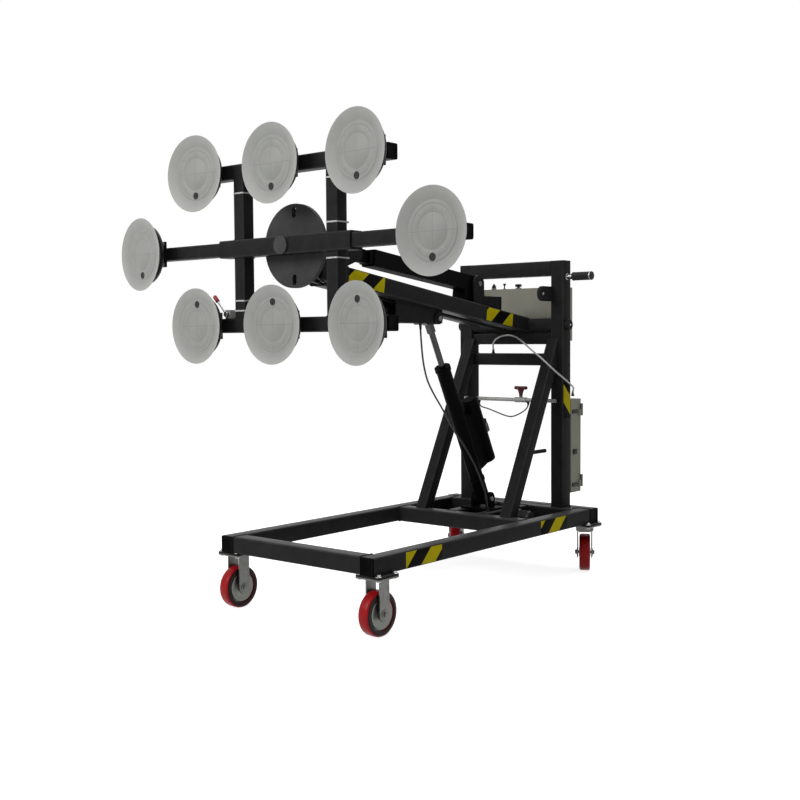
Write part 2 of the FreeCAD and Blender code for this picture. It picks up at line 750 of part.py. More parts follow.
def build_lift_actuator():
    foot_half = foot_plate_width / 2
    base = block(-foot_half, foot_half, foot_pin_y - foot_plate_length / 2,
                 foot_pin_y + foot_plate_length / 2, base_top, base_top + foot_plate_thickness)
    ear_outer = foot_ear_inner + foot_ear_thickness
    ear = fused(block(foot_ear_inner, ear_outer, foot_pin_y - foot_ear_radius, foot_pin_y + foot_ear_radius,
                      base_top, foot_pin[1]),
                x_rod(foot_ear_inner, ear_outer, foot_pin, 2 * foot_ear_radius))
    pin_hole = x_rod(-ear_outer, ear_outer, foot_pin, foot_pin_diameter)
    save("actuator_foot", fused(base, *both_sides(ear)).cut(pin_hole))
    shaft_half = post_outer + pivot_shaft_overhang
    foot_pin_half = ear_outer + pin_overhang
    save("chassis_pins", x_rod(-shaft_half, shaft_half, boom_pivot, pivot_shaft_diameter),
         x_rod(-foot_pin_half, foot_pin_half, foot_pin, foot_pin_diameter))
    eye_half = foot_ear_inner - side_gap
    eye = x_rod(-eye_half, eye_half, foot_pin, 2 * barrel_eye_radius)
    body = slant_rod(foot_pin, lift_rise, 0, barrel_length, 0, barrel_diameter)
    bore = slant_rod(foot_pin, lift_rise, barrel_foot_length, barrel_length - barrel_gland, 0, barrel_bore)
    gland = slant_rod(foot_pin, lift_rise, barrel_foot_length, barrel_length, 0,
                      rod_diameter + 2 * running_fit)
    pin_bore = x_rod(-eye_half, eye_half, foot_pin, foot_pin_diameter + 2 * running_fit)
    save("lift_barrel", fused(body, eye).cut(bore).cut(gland).cut(pin_bore))
    motor_end = motor_start + motor_length
    case = slant_block(foot_pin, lift_rise, -gear_case_width / 2, gear_case_width / 2, motor_start,
                       motor_start + gear_case_length, 0, motor_offset).cut(body)
    case = max(case.Solids, key=lambda solid: solid.Volume)
    motor = slant_rod(foot_pin, lift_rise, motor_start, motor_end, motor_offset, motor_diameter)
    nose = slant_rod(foot_pin, lift_rise, motor_end, motor_end + motor_nose_length, motor_offset,
                     motor_diameter * motor_nose_share)
    save("lift_motor", fused(motor, case, nose))
    rod = slant_rod(foot_pin, lift_rise, rod_start, lift_length, 0, rod_diameter)
    neck = slant_block(foot_pin, lift_rise, -rod_eye_half, rod_eye_half, lift_length - rod_neck, lift_length,
                       -rod_eye_half, rod_eye_half)
    rod_eye = x_rod(-rod_eye_half, rod_eye_half, lift_pin, 2 * rod_eye_radius)
    hole = x_rod(-rod_eye_half, rod_eye_half, lift_pin, lift_pin_diameter + 2 * rod_eye_play)
    slim = slant_block(foot_pin, lift_rise, -rod_eye_half, rod_eye_half, 0, lift_length + rod_eye_radius,
                       -rod_eye_radius, rod_eye_radius)
    save("lift_rod", fused(rod.common(slim), neck, rod_eye).cut(hole))


def build_tilt_actuator():
    half = tilt_tube / 2
    core = tilt_bore / 2
    body = slant_block(tilt_pin, tilt_rise, -half, half, -tilt_tail, tilt_front, -half, half)
    room = slant_block(tilt_pin, tilt_rise, -core, core, tilt_solid, tilt_front, -core, core)
    motor = slant_block(tilt_pin, tilt_rise, -tilt_motor_width / 2, tilt_motor_width / 2, tilt_motor_start,
                        tilt_motor_start + tilt_motor_length, -half - tilt_motor_depth, -half)
    pin_bore = x_rod(-half, half, tilt_pin, tilt_pin_diameter + 2 * running_fit)
    save("tilt_barrel", fused(body, motor).cut(room).cut(pin_bore))
    square_end = tilt_length - ram_neck_length
    ram_half = ram_tube / 2
    ram_core = ram_half - ram_wall
    ram = slant_block(tilt_pin, tilt_rise, -ram_half, ram_half, ram_start, square_end, -ram_half, ram_half)
    ram = ram.cut(slant_block(tilt_pin, tilt_rise, -ram_core, ram_core, ram_start, square_end - ram_tube,
                              -ram_core, ram_core))
    neck = slant_block(tilt_pin, tilt_rise, -ram_neck_half, ram_neck_half, square_end, tilt_length,
                       -ram_eye_radius, ram_eye_radius)
    eye = x_rod(-ram_neck_half, ram_neck_half, head_ear, 2 * ram_eye_radius)
    save("tilt_ram", fused(ram, neck, eye))


def build_head():
    yoke_outer = yoke_inner + yoke_thickness
    flange_rear = flange_front + flange_thickness
    reach = flange_diameter * yoke_height_share / 2
    outline = [(flange_rear, rack_z - reach), (flange_rear, rack_z + reach),
               (head_ear[0], head_ear[1] + yoke_ear_radius), (head_ear[0], head_ear[1] - yoke_ear_radius),
               (head_pivot[0] + yoke_pivot_radius, head_pivot[1]),
               (head_pivot[0], head_pivot[1] - yoke_pivot_radius)]
    boss_outer = nose_lug_inner - side_gap
    cheek = fused(x_plate(outline, yoke_inner, yoke_outer),
                  x_rod(yoke_inner, yoke_outer, head_pivot, 2 * yoke_pivot_radius),
                  x_rod(yoke_inner, yoke_outer, head_ear, 2 * yoke_ear_radius),
                  x_rod(yoke_inner, boss_outer, head_pivot, 2 * yoke_boss_radius))
    flange = y_rod(0, flange_front, flange_rear, rack_z, flange_diameter)
    shaft_end = rack_y - sleeve_tube / 2 + head_shaft_end_gap
    shaft = y_rod(0, shaft_end, flange_front, rack_z, head_shaft_diameter)
    plunger_z = rack_z + plunger_radius
    housing_rear = flange_rear + plunger_housing_length
    housing = y_rod(0, flange_rear, housing_rear, plunger_z, plunger_housing_diameter)
    pin_bore = x_rod(-boss_outer, boss_outer, head_pivot, head_pin_diameter + 2 * running_fit)
    plunger_bore = y_rod(0, flange_front, housing_rear, plunger_z, plunger_diameter + 2 * running_fit)
    yoke = fused(flange, shaft, housing, *both_sides(cheek)).cut(pin_bore).cut(plunger_bore)
    save("head_yoke", yoke)
    plunger_end = flange_front + plunger_length
    knob = y_rod(0, plunger_end, plunger_end + plunger_knob_length, plunger_z, plunger_knob_diameter)
    save("index_plunger", fused(y_rod(0, flange_front, plunger_end, plunger_z, plunger_diameter), knob))


def build_rack():
    sleeve_front = rack_y - sleeve_tube / 2
    boss_front = sleeve_front - hub_boss_lip
    disc = y_rod(0, disc_front, disc_rear, rack_z, disc_diameter)
    boss = y_rod(0, boss_front, disc_front, rack_z, hub_boss_diameter)
    bore = y_rod(0, boss_front + hub_cap, disc_rear, rack_z, head_shaft_diameter + 2 * running_fit)
    whole = fused(disc, boss).cut(bore)
    slot_half = (disc_slot_length - disc_slot_width) / 2
    for sign in (-1, 1):
        z = rack_z + sign * plunger_radius
        slot = block(-disc_slot_width / 2, disc_slot_width / 2, disc_front, disc_rear, z - slot_half,
                     z + slot_half)
        whole = whole.cut(slot)
        for end in (z - slot_half, z + slot_half):
            whole = whole.cut(y_rod(0, disc_front, disc_rear, end, disc_slot_width))
    save("rotation_disc", whole)
    hub_hole = y_rod(0, boss_front, disc_front, rack_z, hub_boss_diameter)
    sleeve = x_tube(-sleeve_half, sleeve_half, rack_y, rack_z, sleeve_tube, sleeve_wall)
    save("arm_sleeve", sleeve.cut(hub_hole))
    bar_y = bar_front + upright_tube / 2
    frame = []
    for sign in (-1, 1):
        frame.append(x_tube(-bar_half, bar_half, bar_y, rack_z + sign * row_rise, upright_tube, rack_wall))
        near = rack_z + sign * sleeve_tube / 2
        far = rack_z + sign * (row_rise - upright_tube / 2)
        for x in (-upright_x, upright_x):
            frame.append(z_tube(min(near, far), max(near, far), x, bar_y, upright_tube, rack_wall))
    save("rack_frame", *frame)
    save("cup_brackets", *[cup_bracket(name) for name in cup_places if name not in ("left", "right")])
    for name, sign in (("left", -1), ("right", 1)):
        ends = sorted((sign * arm_inner_end, sign * arm_outer_end))
        save(name + "_arm", x_tube(ends[0], ends[1], rack_y, rack_z, arm_tube, arm_wall), cup_bracket(name))


def cup_bracket(name):
    x, y, z = cup_places[name]
    plate_front = y - mount_plate_thickness
    plate = block(x - mount_plate_width / 2, x + mount_plate_width / 2, plate_front, y,
                  z - mount_plate_height / 2, z + mount_plate_height / 2)
    socket = y_rod(x, y - ball_standoff, plate_front, z, socket_diameter)
    ball_room = Part.makeSphere(ball_diameter / 2 + running_fit, vec(x, y - ball_standoff, z))
    return fused(plate, socket).cut(ball_room)


def cup(name):
    """Steel back and rubber pad, drawn about the ball and turned to the cup's rest heading."""
    x, y, z = cup_places[name]
    port_side = 1 if name.startswith("bottom") else -1
    disc_rear_y = -(cup_disc_standoff - ball_standoff)
    disc_front_y = disc_rear_y - cup_disc_thickness
    floor_y = disc_front_y - pad_floor
    face_y = disc_front_y - lip_depth
    pad_r = pad_diameter / 2
    lip_r = lip_diameter / 2
    disc = y_rod(0, disc_front_y, disc_rear_y, 0, cup_disc_diameter)
    stud = y_rod(0, disc_rear_y - weld_overlap, 0, 0, stud_diameter)
    port_z = port_side * port_radius
    nipple = y_rod(0, disc_rear_y - weld_overlap, disc_rear_y + nipple_length, port_z, nipple_diameter)
    nipple_hole = y_rod(0, disc_front_y, disc_rear_y + nipple_length, port_z, nipple_bore)
    back = fused(disc, stud, Part.makeSphere(ball_diameter / 2), nipple).cut(nipple_hole)
    pad = turned_about_y([(0, disc_front_y), (pad_r, disc_front_y), (pad_r, disc_front_y - pad_base),
                          (lip_r, face_y + lip_edge), (lip_r, face_y), (lip_r - lip_edge, face_y),
                          (pad_r - lip_root, floor_y), (0, floor_y)])
    pad = pad.cut(y_rod(0, floor_y, disc_front_y, port_z, port_diameter))
    pieces = []
    for piece in (back, pad):
        placed = piece.copy()
        placed.rotate(vec(0, 0, 0), vec(0, 0, 1), -cup_turns[name])
        placed.translate(vec(x, y - ball_standoff, z))
        pieces.append(placed)
    save("cup_" + name, *pieces)


def build_plumbing():
    top = rack_z + row_rise
    bottom = rack_z - row_rise
    ring = [x_rod(-column_x, column_x, (hose_y, z), hose_diameter) for z in (top, bottom)]
    half = hose_tee / 2
    for x in (-upright_x, upright_x):
        ring.append(z_rod(x, hose_y, bottom, top, hose_diameter))
        for z in (top, bottom):
            ring.append(block(x - half, x + half, disc_front + body_gap, hose_y + half, z - half, z + half))
    width = release_body_width / 2
    rest = bottom + upright_tube / 2
    body = block(release_x - width, release_x + width, release_y - width, release_y + width, rest,
                 rest + release_body_height)
    pin = y_rod(release_x, release_y - width - release_pin_length, release_y - width, release_z,
                release_pin_diameter)
    save("rack_plumbing", fused(*ring), fused(body, pin))
    hub_front = release_y - width - body_gap - release_hub_length
    hub = y_rod(release_x, hub_front, hub_front + release_hub_length, release_z, release_hub_diameter)
    middle = vec(release_x, hub_front + release_hub_length / 2, release_z)
    lean = math.radians(release_lean)
    along = vec(-math.sin(lean), 0, math.cos(lean))
    rod = Part.makeCylinder(release_rod_diameter / 2, release_length, middle, along)
    grip_start = middle + along * (release_length - release_grip_length)
    grip = Part.makeCylinder(release_grip_diameter / 2, release_grip_length, grip_start, along)
    hole = y_rod(release_x, hub_front, hub_front + release_hub_length, release_z,
                 release_pin_diameter + 2 * running_fit)
    save("release_lever", fused(hub, rod, grip).cut(hole))


def build_wheel(name, x, y, turn, trail):
    radius = wheel_diameter / 2
    rim = rim_diameter / 2
    half = wheel_width / 2
    tread = turned_about_x([(-half, rim), (-half, radius - wheel_shoulder), (-half + wheel_shoulder, radius),
                            (half - wheel_shoulder, radius), (half, radius - wheel_shoulder), (half, rim)])
    bore = axle_diameter / 2 + running_fit
    hub = hub_diameter / 2
    half_profile = [(hub_width / 2, bore), (hub_width / 2, hub), (web_width / 2, hub),
                    (web_width / 2, rim - rim_depth), (rim_width / 2, rim - rim_depth), (rim_width / 2, rim)]
    core = turned_about_x(half_profile + [(-reach, height) for reach, height in reversed(half_profile)])
    save(name, *[caster_placed(piece, x, y, turn, vec(0, trail, axle_z)) for piece in (tread, core)])


def caster_placed(shape, x, y, turn, start):
    placed = shape.copy()
    placed.translate(start)
    placed.rotate(vec(0, 0, 0), vec(0, 0, 1), turn)
    placed.translate(vec(x, y, 0))
    return placed


def caster_axle(trail):
    half = fork_outer + axle_overhang
    return x_rod(-half, half, (trail, axle_z), axle_diameter)


def top_plate():
    half = caster_plate / 2
    return block(-half, half, -half, half, caster_height - caster_plate_thickness, caster_height)


def rigid_fork():
    plate_bottom = caster_height - caster_plate_thickness
    leg = fused(x_plate([(-fork_leg_top / 2, plate_bottom), (fork_leg_top / 2, plate_bottom),
                         (fork_leg_foot / 2, axle_z), (-fork_leg_foot / 2, axle_z)], fork_inner, fork_outer),
                x_rod(fork_inner, fork_outer, (0, axle_z), fork_leg_foot))
    return fused(top_plate(), *both_sides(leg), caster_axle(0))


def swivel_plate():
    plate_bottom = caster_height - caster_plate_thickness
    race = z_rod(0, 0, plate_bottom - race_height, plate_bottom, race_diameter)
    bore = z_rod(0, 0, plate_bottom - race_height, plate_bottom, kingpin_diameter + 2 * running_fit)
    return fused(top_plate(), race.cut(bore))


def swivel_fork():
    crown_bottom = crown_top - crown_thickness
    ear = (brake_y, brake_z)
    outline = [(-crown_front, crown_top), (brake_y, crown_top), (brake_y + brake_ear_radius, brake_z),
               (swivel_trail + fork_leg_foot / 2, axle_z), (swivel_trail - fork_leg_foot / 2, axle_z)]
    leg = fused(x_plate(outline, fork_inner, fork_outer),
                x_rod(fork_inner, fork_outer, (swivel_trail, axle_z), fork_leg_foot),
                x_rod(fork_inner, fork_outer, ear, 2 * brake_ear_radius))
    crown = block(-fork_outer, fork_outer, -crown_front, swivel_trail, crown_bottom, crown_top)
    disc = z_rod(0, 0, crown_bottom, crown_top, race_diameter)
    kingpin = z_rod(0, 0, crown_top, crown_top + race_height, kingpin_diameter)
    brake_pin = x_rod(-fork_outer, fork_outer, ear, brake_pin_diameter)
    return fused(crown, disc, kingpin, *both_sides(leg), caster_axle(swivel_trail), brake_pin)


def brake_pedal():
    half = fork_inner - pedal_side_gap
    sleeve = x_rod(-half, half, (brake_y, brake_z), brake_sleeve_diameter)
    plate = block(-half, half, brake_y, brake_y + pedal_reach, brake_z, brake_z + pedal_thickness)
    hole = x_rod(-half, half, (brake_y, brake_z), brake_pin_diameter + 2 * running_fit)
    return fused(sleeve, plate).cut(hole)


def build_casters():
    fixed = []
    for side, x in (("left", -rail_x), ("right", rail_x)):
        fixed.append(caster_placed(rigid_fork(), x, -caster_y, 0, vec(0, 0, 0)))
        fixed.append(caster_placed(swivel_plate(), x, caster_y, 0, vec(0, 0, 0)))
        build_wheel("wheel_front_" + side, x, -caster_y, 0, 0)
        build_wheel("wheel_rear_" + side, x, caster_y, swivel_turn, swivel_trail)
        save("swivel_fork_" + side, caster_placed(swivel_fork(), x, caster_y, swivel_turn, vec(0, 0, 0)))
        save("brake_pedal_" + side, caster_placed(brake_pedal(), x, caster_y, swivel_turn, vec(0, 0, 0)))
    save("caster_brackets", *fixed)


def carried(points, start, end):
    """Points of a cord moved so that its two ends lie on their anchors."""
    first = start - vec(*points[0])
    last = end - vec(*points[-1])
    steps = len(points) - 1
    return [vec(*point) + first * (1 - i / steps) + last * (i / steps) for i, point in enumerate(points)]


def cord(name, corners, diameter):
    """Round cord through its points: straight runs joined by tangent arcs."""
    start = corners[0]
    edges = []
    radii = []
    for before, corner, after in zip(corners, corners[1:], corners[2:]):
        back = (before - corner).normalize()
        ahead = (after - corner).normalize()
        trim = bend_share * min(before.distanceToPoint(corner), after.distanceToPoint(corner))
        half_turn = (math.pi - back.getAngle(ahead)) / 2
        radius = trim / math.tan(half_turn)
        first = corner + back * trim
        last = corner + ahead * trim
        middle = corner + (back + ahead).normalize() * (radius / math.cos(half_turn) - radius)
        edges.append(Part.makeLine(start, first))
        edges.append(Part.Arc(first, middle, last).toShape())
        radii.append(radius)
        start = last
    edges.append(Part.makeLine(start, corners[-1]))
    path = Part.Wire(edges)
    ring = Part.Wire(Part.makeCircle(diameter / 2, corners[0], corners[1] - corners[0]))
    solid = path.makePipeShell([ring], True, False)
    expected = math.pi * diameter ** 2 / 4 * path.Length
    print(name, "length", round(path.Length, 1), "least radius", round(min(radii), 1),
          "volume share", round(solid.Volume / expected, 4), "valid", solid.isValid())
    save(name, solid)


os.makedirs("parts", exist_ok=True)
build_base()
build_mast()
build_hose_rail()
build_controls()
build_cabinet()
build_pump()
build_boom()
build_lift_bracket()
build_tilt_tower()
build_lift_actuator()
build_tilt_actuator()
build_head()
build_rack()
for cup_name in cup_places:
    cup(cup_name)
build_plumbing()
build_casters()
hose_start = vec(hose_port_x, post_rear - lower_cross_tube + hose_port_inset,
                 lower_cross_z + lower_cross_tube / 2 + body_gap)
hose_end = vec(cabinet_outer_x - hose_gland_inset, post_rear + hose_gland_setback,
               cabinet_bottom + cabinet_height + hose_gland_height)
slack_z = rail_z - rail_diameter / 2 - body_gap
cable_top = vec(cable_x, lift_pin[0] - cable_setback, lift_pin[1] - bracket_drop - body_gap)
cable_foot = vec(cable_foot_x, foot_pin_y - foot_plate_length / 2 - cable_foot_gap, base_top + body_gap)
cord("vacuum_hose", carried(vacuum_hose_points, hose_start, hose_end), vacuum_hose_diameter)
cord("slack_cable", carried(slack_cable_points, vec(slack_start_x, rail_y, slack_z),
                            vec(slack_end_x, rail_y, slack_z)), slack_cable_diameter)
cord("lift_cable", carried(lift_cable_points, cable_top, cable_foot), lift_cable_diameter)
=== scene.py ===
import math

import bmesh
import bpy
from mathutils import Matrix, Vector


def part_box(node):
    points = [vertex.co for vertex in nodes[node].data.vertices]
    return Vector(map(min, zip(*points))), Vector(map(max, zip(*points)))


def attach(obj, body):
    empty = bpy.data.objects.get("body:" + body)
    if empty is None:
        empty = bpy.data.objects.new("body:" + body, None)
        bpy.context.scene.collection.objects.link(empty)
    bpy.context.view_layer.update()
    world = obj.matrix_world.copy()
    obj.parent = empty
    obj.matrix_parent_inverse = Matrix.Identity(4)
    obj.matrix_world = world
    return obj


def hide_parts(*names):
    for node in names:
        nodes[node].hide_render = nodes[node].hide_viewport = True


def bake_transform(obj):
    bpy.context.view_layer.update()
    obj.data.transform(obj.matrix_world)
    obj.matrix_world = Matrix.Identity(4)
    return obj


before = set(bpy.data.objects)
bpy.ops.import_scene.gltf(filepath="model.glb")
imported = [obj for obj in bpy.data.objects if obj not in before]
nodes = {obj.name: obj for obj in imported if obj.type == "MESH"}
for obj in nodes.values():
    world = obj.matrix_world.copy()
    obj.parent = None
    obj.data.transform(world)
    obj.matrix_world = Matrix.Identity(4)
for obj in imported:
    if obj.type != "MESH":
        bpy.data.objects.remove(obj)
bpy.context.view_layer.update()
scene = bpy.context.scene
MM = 0.001

# Directions and sides

X, Y, Z = (1, 0, 0), (0, 1, 0), (0, 0, 1)
FRONT, DOWN = (0, -1, 0), (0, 0, -1)
SIDES = (-1, 1)
NAMED_SIDES = ((-1, "left"), (1, "right"))

# Trolley sizes and places, in millimetres

TUBE = 60
HALF_TUBE = TUBE / 2
BASE_TOP = 263
BASE_Z = BASE_TOP - HALF_TUBE
BASE_BOTTOM = BASE_TOP - TUBE
RAIL_X = 330
RAIL_INNER, RAIL_OUTER = RAIL_X - HALF_TUBE, RAIL_X + HALF_TUBE
RAIL_FRONT, RAIL_REAR = -695, 635
REAR_TUBE_Y, MAST_TUBE_Y = RAIL_REAR + HALF_TUBE, RAIL_REAR - HALF_TUBE
MIDDLE_TUBE_Y = 247
CROSS_TUBES_Y = (RAIL_FRONT + HALF_TUBE, MIDDLE_TUBE_Y, MAST_TUBE_Y)
FOOT_TUBE = 50
FOOT_X, FOOT_Z = 73, BASE_TOP - FOOT_TUBE / 2
FOOT_FRONT, FOOT_REAR = MIDDLE_TUBE_Y + HALF_TUBE, MAST_TUBE_Y - HALF_TUBE
CASTER_Y = 645
PAD_HALF, PAD_THICKNESS = 50, 8

# Mast sizes and places

POST_X, POST_Y = 230.5, 620
POST_INNER, POST_OUTER = POST_X - HALF_TUBE, POST_X + HALF_TUBE
POST_FRONT, POST_BACK = POST_Y - HALF_TUBE, POST_Y + HALF_TUBE
MAST_TOP = 1269.5
RUNG_HEIGHTS_AND_TUBES = ((953, 45), (868, 50))
BRACE_TUBE, BRACE_X = 50, 209.5
BRACE_FOOT_Y, BRACE_TOP = 272.5, 900
LUG_X, LUG_Y, LUG_Z = 210.5, 520, 1135
HANDLE_Z = 1204

# Boom and actuator places

PIVOT_Z = 1009.5
BOOM_X = 55
BOOM_START, BOOM_END = 15, 1138
BOOM_SLOPE = math.radians(8.3)
LIFT_FOOT_Y, LIFT_FOOT_Z = 395, 305
LIFT_EYE_Y, LIFT_EYE_Z = 35.29, 1033.15

# Rack sizes and places

RACK_Y, RACK_Z = -700, 1268.6
RACK_TUBE, RACK_HALF_WIDTH = 50, 450
RACK_FRONT = RACK_Y - RACK_TUBE / 2
ROW = 262.4
UPRIGHT_X = 217
ARM_TUBE, ARM_Y = 47, -705
ARM_FRONT = ARM_Y - ARM_TUBE / 2
ARM_INNER, ARM_OUTER = 175, 742
SLEEVE_HALF_WIDTH, SLEEVE_WALL = 305, 6.0
CUP_X, ARM_CUP_X = 376, 669
CUP_AHEAD = 20
PLATE_HALF_WIDTH, PLATE_HALF_HEIGHT, PLATE_THICKNESS = 72, 46, 6


def mm(x, y, z):
    return Vector((x * MM, y * MM, z * MM))


def both(value):
    return (-value, value)


# Materials

def add(tree, kind, **inputs):
    node = tree.nodes.new("ShaderNode" + kind)
    for key, value in inputs.items():
        node.inputs[key.replace("_", " ")].default_value = value
    return node


def maths(tree, operation, first, second=0.0):
    node = tree.nodes.new("ShaderNodeMath")
    node.operation = operation
    for socket, value in zip(node.inputs, (first, second)):
        if isinstance(value, (int, float)):
            socket.default_value = value
        else:
            tree.links.new(value, socket)
    return node.outputs[0]


def mixed(tree, factor, first, second):
    node = tree.nodes.new("ShaderNodeMixRGB")
    for socket, value in zip(node.inputs, (factor, first, second)):
        if isinstance(value, tuple):
            socket.default_value = (*value, 1.0)
        else:
            tree.links.new(value, socket)
    return node.outputs[0]


def axes_of(tree, coords):
    node = add(tree, "SeparateXYZ")
    tree.links.new(coords, node.inputs[0])
    return node.outputs["X"], node.outputs["Y"], node.outputs["Z"]


def ramp_up(tree, value, start, end):
    """Rises from 0 at start to 1 at end."""
    node = add(tree, "MapRange", From_Min=start, From_Max=end)
    tree.links.new(value, node.inputs["Value"])
    return node.outputs["Result"]


def surface(name, base, other, rough, spread=0.08, metallic=0.0, specular=0.5, scale=22.0,
            stretch=(1, 1, 1), grain=700.0, bump=0.12, wear_and_highlight=None, painter=None):
    """A material whose colour, gloss and relief all vary with noise; the edge colour lightens the marked
    edges, as wear and as a painted highlight.
    """
    base_until, other_from = 0.32, 0.68
    most_wear_and_highlight = 0.9
    relief_depth = 0.0006
    material = bpy.data.materials.new(name)
    material.use_nodes = True
    tree = material.node_tree
    link = tree.links.new
    shader = tree.nodes["Principled BSDF"]
    shader.inputs["Metallic"].default_value = metallic
    shader.inputs["Specular IOR Level"].default_value = specular
    coords = add(tree, "TexCoord")
    mapping = add(tree, "Mapping", Scale=stretch)
    link(coords.outputs["Object"], mapping.inputs["Vector"])
    cloud = add(tree, "TexNoise", Scale=scale, Detail=6.0, Roughness=0.6)
    fine = add(tree, "TexNoise", Scale=grain, Detail=3.0)
    for texture in (cloud, fine):
        link(mapping.outputs["Vector"], texture.inputs["Vector"])
    ramp = add(tree, "ValToRGB")
    for element, place, colour in zip(ramp.color_ramp.elements, (base_until, other_from), (base, other)):
        element.position = place
        element.color = (*colour, 1.0)
    link(cloud.outputs["Fac"], ramp.inputs["Fac"])
    colour = ramp.outputs["Color"]
    if painter:
        colour = painter(tree, coords, colour)
    # Marked edges are lightened: partly wear, partly a painted highlight along the rounded corners.
    if wear_and_highlight:
        edge = add(tree, "Attribute")
        edge.attribute_name = "edge"
        patches = maths(tree, "SMOOTH_MIN", cloud.outputs["Fac"], most_wear_and_highlight)
        colour = mixed(tree, maths(tree, "MULTIPLY", edge.outputs["Fac"], patches), colour, wear_and_highlight)
    link(colour, shader.inputs["Base Color"])
    gloss = add(tree, "MapRange", To_Min=rough - spread, To_Max=rough + spread)
    link(cloud.outputs["Fac"], gloss.inputs["Value"])
    link(gloss.outputs["Result"], shader.inputs["Roughness"])
    relief = add(tree, "Bump", Strength=bump, Distance=relief_depth)
    link(fine.outputs["Fac"], relief.inputs["Height"])
    link(relief.outputs["Normal"], shader.inputs["Normal"])
    return material


def hazard(tree, coords, colour):
    """Slanted black bands over a yellow film, along the strip's own length."""
    period, yellow = 0.151, 0.075
    x, y, _ = axes_of(tree, coords.outputs["Object"])
    place = maths(tree, "FLOORED_MODULO", maths(tree, "SUBTRACT", x, y), period)
    return mixed(tree, maths(tree, "GREATER_THAN", place, yellow), colour, (0.0028, 0.0024, 0.0024))


def cup_print(tree, coords, colour):
    """A paler lip, a dotted middle and faint rings, ticks and cross lines on the face of a cup."""
    lip_start, lip_end, lip_share = 0.098, 0.131, 0.7
    cross_reach, cross_half = 0.086, 0.0007
    rings, ring_half = (0.0545, 0.0785), 0.0005
    ticks_per_turn, tick_half_share = 8, 0.022
    tick_radius, tick_half = 0.0715, 0.0045
    dot_reach, dot_wave, dot_level, dot_share = 0.053, 900.0, 0.45, 0.28
    line_share = 0.42
    x, _, z = axes_of(tree, coords.outputs["Object"])
    squares = maths(tree, "ADD", maths(tree, "MULTIPLY", x, x), maths(tree, "MULTIPLY", z, z))
    radius = maths(tree, "SQRT", squares)

    def band(value, centre, half):
        away = maths(tree, "ABSOLUTE", maths(tree, "SUBTRACT", value, centre))
        return maths(tree, "LESS_THAN", away, half)

    lip = maths(tree, "MULTIPLY", ramp_up(tree, radius, lip_start, lip_end), lip_share)
    colour = mixed(tree, lip, colour, (0.41, 0.415, 0.40))
    cross = maths(tree, "MAXIMUM", band(x, 0.0, cross_half), band(z, 0.0, cross_half))
    lines = maths(tree, "MULTIPLY", maths(tree, "LESS_THAN", radius, cross_reach), cross)
    for ring in rings:
        lines = maths(tree, "MAXIMUM", lines, band(radius, ring, ring_half))
    turn = maths(tree, "MULTIPLY", maths(tree, "ARCTAN2", z, x), ticks_per_turn / (2 * math.pi))
    beat = maths(tree, "ABSOLUTE", maths(tree, "SUBTRACT", turn, maths(tree, "ROUND", turn)))
    ticks = maths(tree, "MULTIPLY", maths(tree, "LESS_THAN", beat, tick_half_share),
                  band(radius, tick_radius, tick_half))
    lines = maths(tree, "MAXIMUM", lines, ticks)
    waves = [maths(tree, "SINE", maths(tree, "MULTIPLY", axis, dot_wave)) for axis in (x, z)]
    dots = maths(tree, "GREATER_THAN", maths(tree, "MULTIPLY", *waves), dot_level)
    dotted = maths(tree, "MULTIPLY", dots, maths(tree, "LESS_THAN", radius, dot_reach))
    colour = mixed(tree, maths(tree, "MULTIPLY", dotted, dot_share), colour, (0.17, 0.17, 0.17))
    return mixed(tree, maths(tree, "MULTIPLY", lines, line_share), colour, (0.13, 0.13, 0.13))


def shaded_tread_sides(tree, coords, colour):
    """Paints the sides of a tread, across its axle, nearly black: painted shade for their unlit faces."""
    shade_from, shade_at = 0.0195, 0.0212
    x, _, _ = axes_of(tree, coords.outputs["Object"])
    side = ramp_up(tree, maths(tree, "ABSOLUTE", x), shade_from, shade_at)
    return mixed(tree, side, colour, (0.010, 0.0028, 0.0024))


def painted_top_sheen(tree, coords, colour):
    """Lightens faces that look up with a thin grey: a painted sheen for their brighter look."""
    sheen_from, sheen_at = 0.85, 0.99
    _, _, z = axes_of(tree, coords.outputs["Normal"])
    return mixed(tree, ramp_up(tree, z, sheen_from, sheen_at), colour, (0.055, 0.055, 0.054))


# Frame paint: faces that look up take a painted sheen.
PAINT = surface("black_powder_coat", (0.0190, 0.0190, 0.0196), (0.0250, 0.0250, 0.0257), rough=0.34,
                specular=0.02, grain=1100.0, bump=0.2, wear_and_highlight=(0.06, 0.06, 0.062), painter=painted_top_sheen)
# The deck's near-black, darker than the frame paint, is painted shade for the shadowed inside of the base.
SHADED_DECK = surface("deck_painted_shade", (0.0030, 0.0030, 0.0032), (0.0050, 0.0050, 0.0053), rough=0.7, specular=0.02,
               grain=900.0, bump=0.2, wear_and_highlight=(0.02, 0.02, 0.02))
DISC = surface("disc_grey_black", (0.056, 0.056, 0.057), (0.068, 0.068, 0.069), rough=0.5, specular=0.05,
               grain=1100.0, bump=0.2, wear_and_highlight=(0.08, 0.08, 0.082))
ACTUATOR = surface("actuator_black", (0.0028, 0.0028, 0.0031), (0.0042, 0.0042, 0.0046), rough=0.5,
                   specular=0.02, grain=1500.0, bump=0.22, wear_and_highlight=(0.03, 0.03, 0.032))
RUBBER = surface("cup_rubber", (0.270, 0.275, 0.255), (0.310, 0.315, 0.295), rough=0.46, specular=0.3,
                 scale=18.0, grain=1800.0, bump=0.1, painter=cup_print)
BACK = surface("cup_back_black", (0.006, 0.006, 0.0065), (0.010, 0.010, 0.0105), rough=0.5, specular=0.2,
               grain=1300.0)
BOX = surface("box_paint", (0.275, 0.272, 0.225), (0.305, 0.302, 0.25), rough=0.5, specular=0.3, scale=14.0,
              grain=1400.0, bump=0.2)
